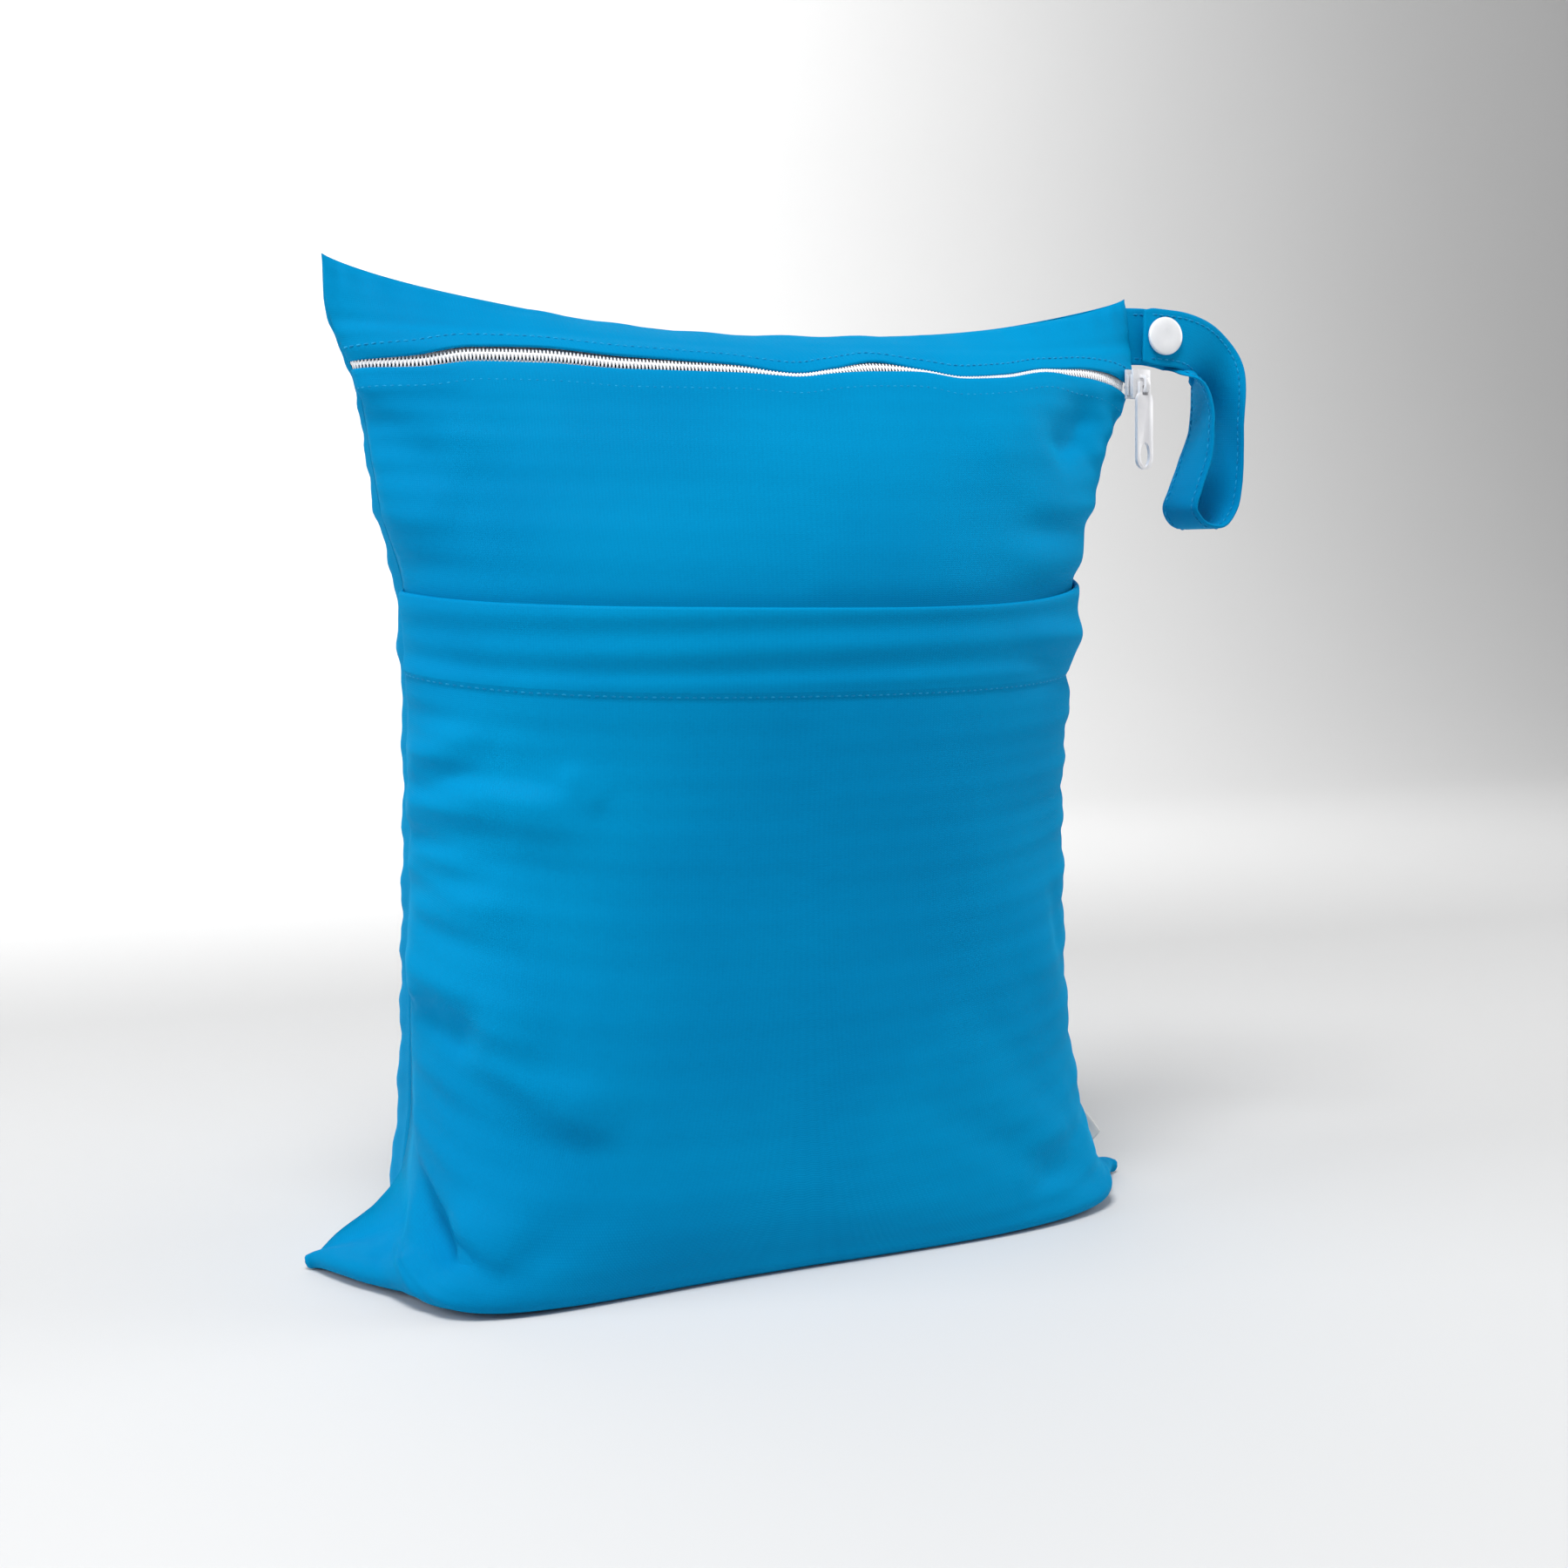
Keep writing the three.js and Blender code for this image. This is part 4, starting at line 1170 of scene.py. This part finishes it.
@dataclass
class StitchRow:
    """A row of lockstitches laid along a path, each a short thread that dips into the cloth at its ends."""

    name: str
    pitch: float = 2.5 * MM
    thread: float = 0.26 * MM

    def build(self, path: Array, out: Array) -> None:
        """Builds the row as one object.

        Args:
            path: points along the seam, in order.
            out: the cloth's outward direction at each.
        """
        run = run_along(path)
        count = max(1, int(run[-1] / self.pitch))
        tubes = []
        for k in range(count):
            start, stop = ((k + share) * run[-1] / count for share in (0.1, 0.86))
            tube: list[Array] = []
            for t, sink, fat in STITCH_SECTIONS:
                at = mix(start, stop, t)
                middle, normal = at_run(at, run, path), at_run(at, run, out)
                ahead = at_run(at + 0.3 * MM, run, path) - middle
                side = np.cross(normal, ahead)
                side /= max(np.linalg.norm(side), 1e-12)
                normal /= max(np.linalg.norm(normal), 1e-12)
                tube += round_section(middle + normal * self.thread * sink, side, normal, self.thread * fat)
            tubes.append(tube)
        declare(join_tubes(self.name, tubes, THREAD))


@dataclass
class Topstitching:
    """The rows of stitches on the front: the pocket's hem and both sides of the zipper."""

    start: float = 0.035
    end: float = 0.965
    below_hem: float = 0.0028
    below_zip: float = 7.5 * MM
    above_zip: float = 5.5 * MM
    strip: float = 29 * MM

    def along_cloth(self, name: str, acrosses: Array, alongs: Array, out: Array) -> None:
        """Builds one row over the front at those places."""
        path = SHAPE.point(Side.FRONT, acrosses, alongs, out)
        StitchRow(name).build(path, SHAPE.outward(Side.FRONT, acrosses, alongs))

    def build(self, bag: BagBody) -> None:
        """Builds every row."""
        a = steps(self.start, self.end, 260)
        thin = taper(a)
        hem = np.full_like(a, bag.hem - self.below_hem)
        self.along_cloth("hem_stitches", a, hem, (bag.stand_off(a, hem) + bag.hem_thickness(a, hem[0])) * thin)
        lower = ZIPLINE.lower(a) - self.below_zip / PANEL_HEIGHT
        self.along_cloth("zipper_stitches_lower", a, lower, SHAPE.cloth * thin)
        upper = ZIPLINE.upper(a) + self.above_zip / PANEL_HEIGHT
        lift = ZIPLINE.lift(a) * (1 - smooth(2.5 * self.above_zip / self.strip))
        self.along_cloth("zipper_stitches_upper", a, upper, lift + SHAPE.cloth * thin)


# One turn of the coil, from its buried head over the top to the tape: place across, height, and thickness.
COIL_SECTIONS = (
    (-0.22, -0.55, 0.8),
    (-0.18, 0.1, 1.1),
    (0.1, 0.42, 1.0),
    (0.55, 0.36, 0.95),
    (0.86, 0.0, 0.9),
    (0.92, -0.6, 0.8),
)


@dataclass
class CoilZipper:
    """The closed nylon coil between its two woven tapes."""

    start: float = 0.022
    end: float = 0.915
    pitch: float = 1.2 * MM
    wire: float = 0.37 * MM
    reach: float = 2.7 * MM
    rise: float = 0.9 * MM
    depth: float = 0.35 * MM
    tape_reach: float = 12 * MM
    tape_depth: float = -0.9 * MM

    def line(self) -> tuple[Array, Array, Array]:
        """Returns the chain's points, its outward directions and the directions up the panel."""
        a = steps(self.start, self.end, 400)
        at = ZIPLINE.middle(a)
        path = SHAPE.point(Side.FRONT, a, at, self.depth)
        out = SHAPE.outward(Side.FRONT, a, at)
        up = np.cross(out, unit(np.gradient(path, axis=0)))
        up *= np.sign(up[:, 2:3])
        return path, out, unit(up)

    def build(self) -> None:
        """Builds the coil and the tapes."""
        path, out, up = self.line()
        run = run_along(path)
        tubes = []
        for sign, first in ((1, 0.5), (-1, 1.0)):
            for k in range(int(run[-1] / self.pitch)):
                at = (k + first) * self.pitch
                if at >= run[-1]:
                    continue
                middle, normal, cross = (at_run(at, run, columns) for columns in (path, out, up))
                ahead = np.cross(cross, normal)
                tube: list[Array] = []
                for across, height, fat in COIL_SECTIONS:
                    centre = middle + cross * sign * across * self.reach + normal * height * self.rise
                    tube += round_section(centre, ahead, normal, self.wire * fat)
                tubes.append(tube)
        declare(join_tubes("zipper_coil", tubes, COIL), "zipper_chain")
        self.tape("tape_upper", "zipper_tape_upper", 0.15, 1.0)
        self.tape("tape_lower", "zipper_tape_lower", -1.0, -0.15)

    def tape(self, name: str, node: str, low: float, high: float) -> None:
        """Builds one tape between those shares of its reach from the chain."""
        a = steps(self.start, 0.95, 120)
        offsets = steps(low, high, 6) * self.tape_reach / SHAPE.panel_height
        inner = [(ZIPLINE.middle(a) + o, np.full_like(a, self.tape_depth)) for o in offsets]
        outer = [(p, o + 0.5 * MM) for p, o in reversed(inner)]
        ClothPiece(name, Side.FRONT, a, [*inner, *outer], (0.3, 0.0115), node, TAPE).build()


@dataclass
class SliderAndPull:
    """The zipper's slider with its crown, and the flat pull that hangs from it on the hinge."""

    bevel: float = 0.28 * MM
    width: float = 8.4 * MM
    length: float = 10.5 * MM
    plate: float = 1.0 * MM
    channel: float = 2.5 * MM
    crown_gap: float = 2.2 * MM

    def softened(self, node: str, name: str, width: float) -> Thing:
        """Returns a copy of a CAD node with its doubles merged and its edges rounded.

        Args:
            node: the CAD node.
            name: the new piece's name.
            width: how far the edges are rounded, in metres.

        Returns:
            The new object.
        """
        piece = bpy.data.objects.new(name, frame["nodes"][node].data.copy())
        dress(piece, ENAMEL)
        bpy.context.scene.collection.objects.link(piece)
        face_outwards(piece)
        select_only(piece)
        round_edges(piece, width, 35)
        bpy.ops.object.shade_smooth_by_angle(angle=math.radians(40))
        return piece

    def build(self) -> None:
        """Builds the slider and the pull."""
        slider = self.softened("zipper_slider", "slider_body", 0.2 * MM)
        declare(slider, "zipper_slider")
        self.flanges()
        pull = self.softened("zipper_pull", "pull_tab", self.bevel)
        declare(pull, "zipper_pull", Body.PULL)

    def flanges(self) -> None:
        """Adds the bent flanges along both sides of the slider's two plates."""
        joint = frame["joints"][0]
        pin = Vector(joint["pos_m"])
        right = Vector(joint["axis"]).normalized()
        facing = Vector((right.y, -right.x, 0.0))
        front = self.crown_gap / 2 + self.plate
        for side, left in ((-1, "left"), (1, "right")):
            for depth, layer in ((front + 0.3 * MM, "outer"), (front + self.channel - 0.3 * MM, "inner")):
                middle = pin + right * side * (self.width / 2 - 0.3 * MM) - facing * depth
                self.flange(f"slider_flange_{left}_{layer}", middle, math.atan2(right.y, right.x))

    def flange(self, name: str, middle: Vector, turn: float) -> None:
        """Models one flange, a rounded upright bar, turned and moved to its place."""
        bpy.ops.object.select_all(action="DESELECT")
        bpy.ops.mesh.primitive_cube_add(size=1.0, location=(0, 0, 0))
        bar = bpy.context.object
        bpy.ops.object.mode_set(mode="EDIT")
        bpy.ops.mesh.select_all(action="SELECT")
        bpy.ops.transform.resize(value=(0.7 * MM, 0.9 * MM, self.length * 0.72))
        bpy.ops.mesh.bevel(offset=0.2 * MM, segments=2)
        bpy.ops.transform.rotate(value=-turn, orient_axis="Z", center_override=(0, 0, 0))
        bpy.ops.transform.translate(value=tuple(middle + Vector((0, 0, -0.4 * MM))))
        bpy.ops.object.mode_set(mode="OBJECT")
        bar.name = name
        dress(bar, ENAMEL)
        bpy.ops.object.shade_smooth_by_angle(angle=math.radians(40))
        settle(bar)
        declare(bar)


def select_only(piece: Thing) -> None:
    """Selects that object alone and makes it active."""
    bpy.ops.object.select_all(action="DESELECT")
    piece.select_set(True)
    bpy.context.view_layer.objects.active = piece


def settle(piece: Thing) -> None:
    """Moves an object's place, turn and size into its mesh."""
    select_only(piece)
    bpy.ops.object.transform_apply(location=True, rotation=True, scale=True)


# The band's route: right, front and up of its root in strap widths, then how far its width has turned back from
# upright and how far that swings to the left, in degrees.
STRAP_ROWS = (
    (-0.1, 0, 0, 0, 0),
    (0.35, 0, 0, 0, 0),
    (0.9, 0, -0.13, 0, 0),
    (1.17, 0.0, -0.38, 24, -6),
    (1.36, 0.02, -0.68, 48, -10),
    (1.46, 0.04, -1.15, 72, -10),
    (1.44, 0.05, -1.62, 86, -8),
    (1.32, 0.05, -2.12, 90, 2),
    (1.12, 0.04, -2.66, 90, 3),
    (1.04, 0.0, -3.02, 90, 4),
    (1.26, -0.04, -3.28, 90, 8),
    (1.6, -0.08, -3.3, 90, 14),
    (1.86, -0.12, -2.98, 90, 18),
    (1.98, -0.15, -2.5, 92, 18),
    (2.07, -0.16, -2.02, 96, 9),
    (2.06, -0.13, -1.5, 108, 4),
    (1.94, -0.06, -0.98, 128, 6),
    (1.7, 0.06, -0.5, 152, 8),
    (1.35, 0.19, -0.2, 170, 4),
    (0.95, 0.25, -0.06, 180, 0),
    (0.55, 0.25, -0.02, 180, 0),
    (0.12, 0.25, 0.0, 180, 0),
)


@dataclass
class WristStrap:
    """The doubled band that leaves the side seam, loops round and comes back to its snap."""

    width: float = 21 * MM
    thick: float = 1.8 * MM
    along: float = 0.965
    stations: int = 190
    around: int = 28
    edge_stitch: float = 2.4 * MM
    edge_square: float = 0.32
    face_square: float = 0.75
    groove: float = 0.22
    groove_at: float = 0.78
    groove_reach: float = 0.07
    gather: float = 0.06
    gather_spacing: float = 3.1 * MM

    def route(self) -> tuple[Array, Array, Array]:
        """Returns the band's middle line, the directions of its width, and its outward directions."""
        rows = np.array(STRAP_ROWS, float)
        edge = SHAPE.shell(Side.FRONT, np.array(1.0), np.array(self.along)) + np.array(SHAPE.place)
        root = edge + [SHAPE.cloth + 3 * SHAPE.sewn_gap, 0.0, 0.0]
        spots = root + rows[:, :3] * [1, -1, 1] * self.width
        spots = np.vstack([2 * spots[0] - spots[1], spots, 2 * spots[-1] - spots[-2]])
        shares = steps(0.0, 1.0, self.stations) * (len(rows) - 1)
        spans = np.minimum(shares.astype(int), len(rows) - 2)
        middle = np.array([self.between(spots[i : i + 4], share - i) for i, share in zip(spans, shares)])
        heading = unit(np.gradient(middle, axis=0))
        places = np.arange(len(rows))
        turn = np.radians(np.interp(shares, places, rows[:, 3]))
        yaw = np.radians(np.interp(shares, places, rows[:, 4]))
        turn = np.convolve(np.pad(turn, 4, mode="edge"), np.ones(9) / 9, mode="valid")
        wide = np.stack([-np.sin(yaw) * np.sin(turn), np.cos(yaw) * np.sin(turn), np.cos(turn)], axis=1)
        wide = unit(wide - heading * np.sum(wide * heading, axis=1, keepdims=True))
        return middle, wide, unit(np.cross(wide, heading))

    def between(self, four: Array, share: float) -> Array:
        """Returns a point of the centripetal curve between the middle two of four points."""
        gaps = np.linalg.norm(np.diff(four, axis=0), axis=1) ** 0.5
        d0, d1, d2 = np.maximum(gaps, 1e-6)
        p0, p1, p2, p3 = four
        out = ((p1 - p0) / d0 - (p2 - p0) / (d0 + d1) + (p2 - p1) / d1) * d1
        into = ((p2 - p1) / d1 - (p3 - p1) / (d1 + d2) + (p3 - p2) / d2) * d1
        return hermite(share, p1, out, p2, into)

    def build(self) -> None:
        """Builds the band and the stitches along its two edges."""
        middle, wide, face = self.route()
        run = run_along(middle)
        verts, cut = [], []
        for k in range(len(middle)):
            end = min(1.0, (len(middle) - 1 - k + 0.4) / 4.0)
            for j in range(self.around):
                angle = 2 * math.pi * j / self.around
                across = math.copysign(abs(math.cos(angle)) ** self.edge_square, math.cos(angle))
                deep = math.copysign(abs(math.sin(angle)) ** self.face_square, math.sin(angle))
                sunk = math.exp(-(((abs(across) - self.groove_at) / self.groove_reach) ** 2))
                puff = 1 + self.gather * math.sin(run[k] / self.gather_spacing) * abs(across)
                spot = middle[k] + wide[k] * across * self.width / 2 * mix(0.9, 1.0, end)
                spot = spot + face[k] * deep * self.thick / 2 * (1 - self.groove * sunk) * puff * mix(0.6, 1.0, end)
                verts.append(spot)
                cut.append((across * self.width / 2 + 0.02 * (deep < 0), run[k]))
        piece = object_of("strap_band", verts, tube_faces(len(middle), self.around), BLUE)
        lay_uv(piece, np.array(cut))
        face_outwards(piece)
        declare(piece, "wrist_strap")
        inset = self.width / 2 - self.edge_stitch
        for edge, height in ((-1, "low"), (1, "high")):
            for layer, place in ((-1, "inner"), (1, "outer")):
                path = middle + wide * edge * inset + face * layer * self.thick * 0.41
                row = StitchRow(f"strap_stitches_{height}_{place}", pitch=2.6 * MM, thread=0.22 * MM)
                row.build(path[3:-3], (face * layer)[3:-3])


@dataclass
class Snap:
    """The strap's snap: a domed cap in front, one behind, and the joined stud and socket between the layers."""

    radius: float = 7 * MM
    height: float = 2.4 * MM

    def build(self) -> None:
        """Builds the two caps, and finishes the stud and socket that the CAD gives."""
        for node, name, way in (("snap_cap", "cap_front", -1), ("snap_back_cap", "cap_back", 1)):
            low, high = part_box(node)
            base = high.y if way < 0 else low.y
            self.cap(name, node, Vector(((low.x + high.x) / 2, base, (low.z + high.z) / 2)), way)
        core = frame["nodes"]["snap_core"]
        for slot in core.material_slots:
            slot.material = RESIN

    def cap(self, name: str, node: str, centre: Vector, way: int) -> None:
        """Models one domed cap.

        Args:
            name: the piece's name.
            node: the CAD node that it replaces.
            centre: the middle of its flat face.
            way: -1 for a cap that faces the front, 1 for the back.
        """
        bpy.ops.object.select_all(action="DESELECT")
        depth = self.height * 0.55
        bpy.ops.mesh.primitive_cylinder_add(vertices=64, radius=self.radius, depth=depth, end_fill_type="NGON")
        cap = bpy.context.object
        bpy.ops.object.mode_set(mode="EDIT")
        shape = bmesh.from_edit_mesh(cap.data)
        for face in shape.faces:
            face.select = face.normal.z > 0.9
        bmesh.update_edit_mesh(cap.data)
        for inset, lift in ((0.45, 0.3), (0.8, 0.22), (1.3, 0.18), (1.9, 0.1)):
            bpy.ops.mesh.inset(thickness=inset * MM)
            bpy.ops.transform.translate(value=(0, 0, lift * MM))
        bpy.ops.mesh.inset(thickness=0.9 * MM)
        bpy.ops.transform.translate(value=(0, 0, -0.12 * MM))
        bpy.ops.object.mode_set(mode="OBJECT")
        cap.name = name
        round_edges(cap, 0.35 * MM, 40)
        cap.rotation_euler = (math.radians(90 if way < 0 else -90), 0, 0)
        cap.location = centre + Vector((0, way * depth / 2, 0))
        settle(cap)
        dress(cap, RESIN)
        bpy.ops.object.shade_smooth_by_angle(angle=math.radians(50))
        declare(cap, node)


@dataclass
class SideLabel:
    """The plain folded ribbon in the side seam."""

    width: float = 7 * MM
    height: float = 15 * MM
    cut_width: float = 10.2 * MM
    thick: float = 0.7 * MM
    lean: float = math.radians(40)
    bow: float = 1.4 * MM
    folded_from: float = 0.93

    def build(self) -> None:
        """Builds the ribbon, bent a little out of flat."""
        low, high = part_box("side_label")
        centre = np.array((low + high) / 2)
        away = np.array([math.cos(self.lean), 0.0, math.sin(self.lean)])
        up = np.array([-math.sin(self.lean), 0.0, math.cos(self.lean)])
        columns, rows = 14, 18
        wide, one = columns + 1, (columns + 1) * (rows + 1)
        verts, cut, faces = [], [], []
        for layer in (-1, 1):
            for r in range(rows + 1):
                for c in range(columns + 1):
                    s, t = c / columns, r / rows
                    bend = self.bow * math.sin(math.pi * t * 0.9) * s * s
                    past = max(0.0, (s - self.folded_from) / (1 - self.folded_from))
                    fold = math.sqrt(max(0.0, 1 - past**2))
                    ahead = bend - 0.4 * MM + layer * self.thick / 2 * mix(0.15, 1.0, fold)
                    spot = centre + away * (s - 0.58) * self.width * 1.1 + up * (t - 0.5) * self.height
                    verts.append(spot + np.array([0, -1, 0]) * ahead)
                    cut.append((s * self.width, t * self.height))
        for r in range(rows):
            for c in range(columns):
                a = r * wide + c
                faces.append((a, a + wide, a + wide + 1, a + 1))
                faces.append((one + a, one + a + 1, one + a + wide + 1, one + a + wide))
            for a in (r * wide, r * wide + columns):
                faces.append((a, one + a, one + a + wide, a + wide))
        for c in range(columns):
            for a in (c, rows * wide + c):
                faces.append((a, one + a, one + a + 1, a + 1))
        piece = object_of("label_ribbon", verts, faces, LABEL)
        lay_uv(piece, np.array(cut))
        face_outwards(piece)
        declare(piece, "side_label")


# The lights: name, place, the place that it looks at, power in watts, and size.
LIGHTS = (
    ("top", (-0.45, -0.7, 1.75), (0.0, 0.0, 0.16), 29.0, 0.7),
    ("left", (-1.6, 0.0, 0.75), (0.0, 0.0, 0.16), 11.0, 0.9),
    ("right", (1.5, -0.3, 0.7), (0.0, 0.0, 0.16), 8.0, 0.9),
    ("wall", (0.0, 0.9, 1.3), (0.0, 2.0, 0.9), 26.0, 1.6),
)


@dataclass
class Studio:
    """The pale floor and backdrop, the soft lights and the camera at the photograph's angle."""

    eye: Place = (-0.28856, -0.67443, 0.21702)
    yaw: float = 22.2
    lens: float = 49.0
    drop: float = -0.1289

    def build(self) -> None:
        """Builds the stage, lights and camera."""
        bpy.context.scene.view_settings.view_transform = "Standard"
        self.backdrop()
        self.camera()
        for row in LIGHTS:
            self.light(*row)
        world = bpy.data.worlds.new("studio")
        world.use_nodes = True
        sky = world.node_tree.nodes["Background"].inputs
        sky[0].default_value = rgb(1.0, 1.0, 1.0)
        sky[1].default_value = 0.3
        bpy.context.scene.world = world

    def light(self, name: str, at: Place, to: Place, power: float, size: float) -> None:
        """Adds a square soft light that looks at a place."""
        lamp = bpy.data.lights.new(name, "AREA")
        lamp.energy = power
        lamp.size = size
        made = bpy.data.objects.new(name, lamp)
        made.location = at
        made.rotation_euler = (Vector(to) - Vector(at)).to_track_quat("-Z", "Y").to_euler()
        bpy.context.scene.collection.objects.link(made)

    def backdrop(self) -> None:
        """Adds the floor, which bends up into a wall behind."""
        turns = np.radians(np.arange(7.5, 90, 7.5))
        bend = [(1.2 + 0.8 * math.sin(t), 0.8 - 0.8 * math.cos(t)) for t in turns]
        rows = [(-3.0, 0.0), (1.2, 0.0), *bend, (2.0, 0.8), (2.0, 3.2)]
        verts = [(x, y, z) for y, z in rows for x in (-4.0, 4.0)]
        faces = [(2 * i, 2 * i + 1, 2 * i + 3, 2 * i + 2) for i in range(len(rows) - 1)]
        paper = FinishGraph("pale_paper")
        tone = paper.blend(paper.noise(3.0), rgb(0.66, 0.66, 0.66), rgb(0.68, 0.68, 0.68))
        paper.set(Base_Color=tone, Roughness=0.8, Specular_IOR_Level=0.2)
        floor = object_of("floor", verts, faces, paper.material)

    def camera(self) -> None:
        """Adds the camera, level and shifted down as the photograph is."""
        lens = bpy.data.cameras.new("camera")
        lens.sensor_width = 36.0
        lens.lens = self.lens
        lens.shift_y = self.drop
        lens.clip_start = 0.02
        made = bpy.data.objects.new("camera", lens)
        made.location = self.eye
        made.rotation_euler = (math.radians(90), 0.0, math.radians(-self.yaw))
        bpy.context.scene.collection.objects.link(made)
        bpy.context.scene.camera = made


def main() -> None:
    """Builds the pieces in order and reports each."""
    logging.basicConfig(level=logging.INFO, format="%(name)s: %(message)s")
    for side, high in ((Side.FRONT, 0.9), (Side.BACK, 0.985)):
        cloth = SettledCloth(side, 0.12, high)
        cloth.run()
        SHAPE.settled[side] = cloth
        LOG.info("the cloth of one side has settled: %s", side.name.lower())
    Studio().build()
    LOG.info("stage, lights and camera are set")
    bag = BagBody()
    bag.build()
    LOG.info("the four cloth pieces are built")
    Topstitching().build(bag)
    LOG.info("the stitches are laid")
    CoilZipper().build()
    SliderAndPull().build()
    LOG.info("the zipper, slider and pull are built")
    WristStrap().build()
    Snap().build()
    SideLabel().build()
    LOG.info("the strap, snap and label are built")


if __name__ == "__main__":
    main()
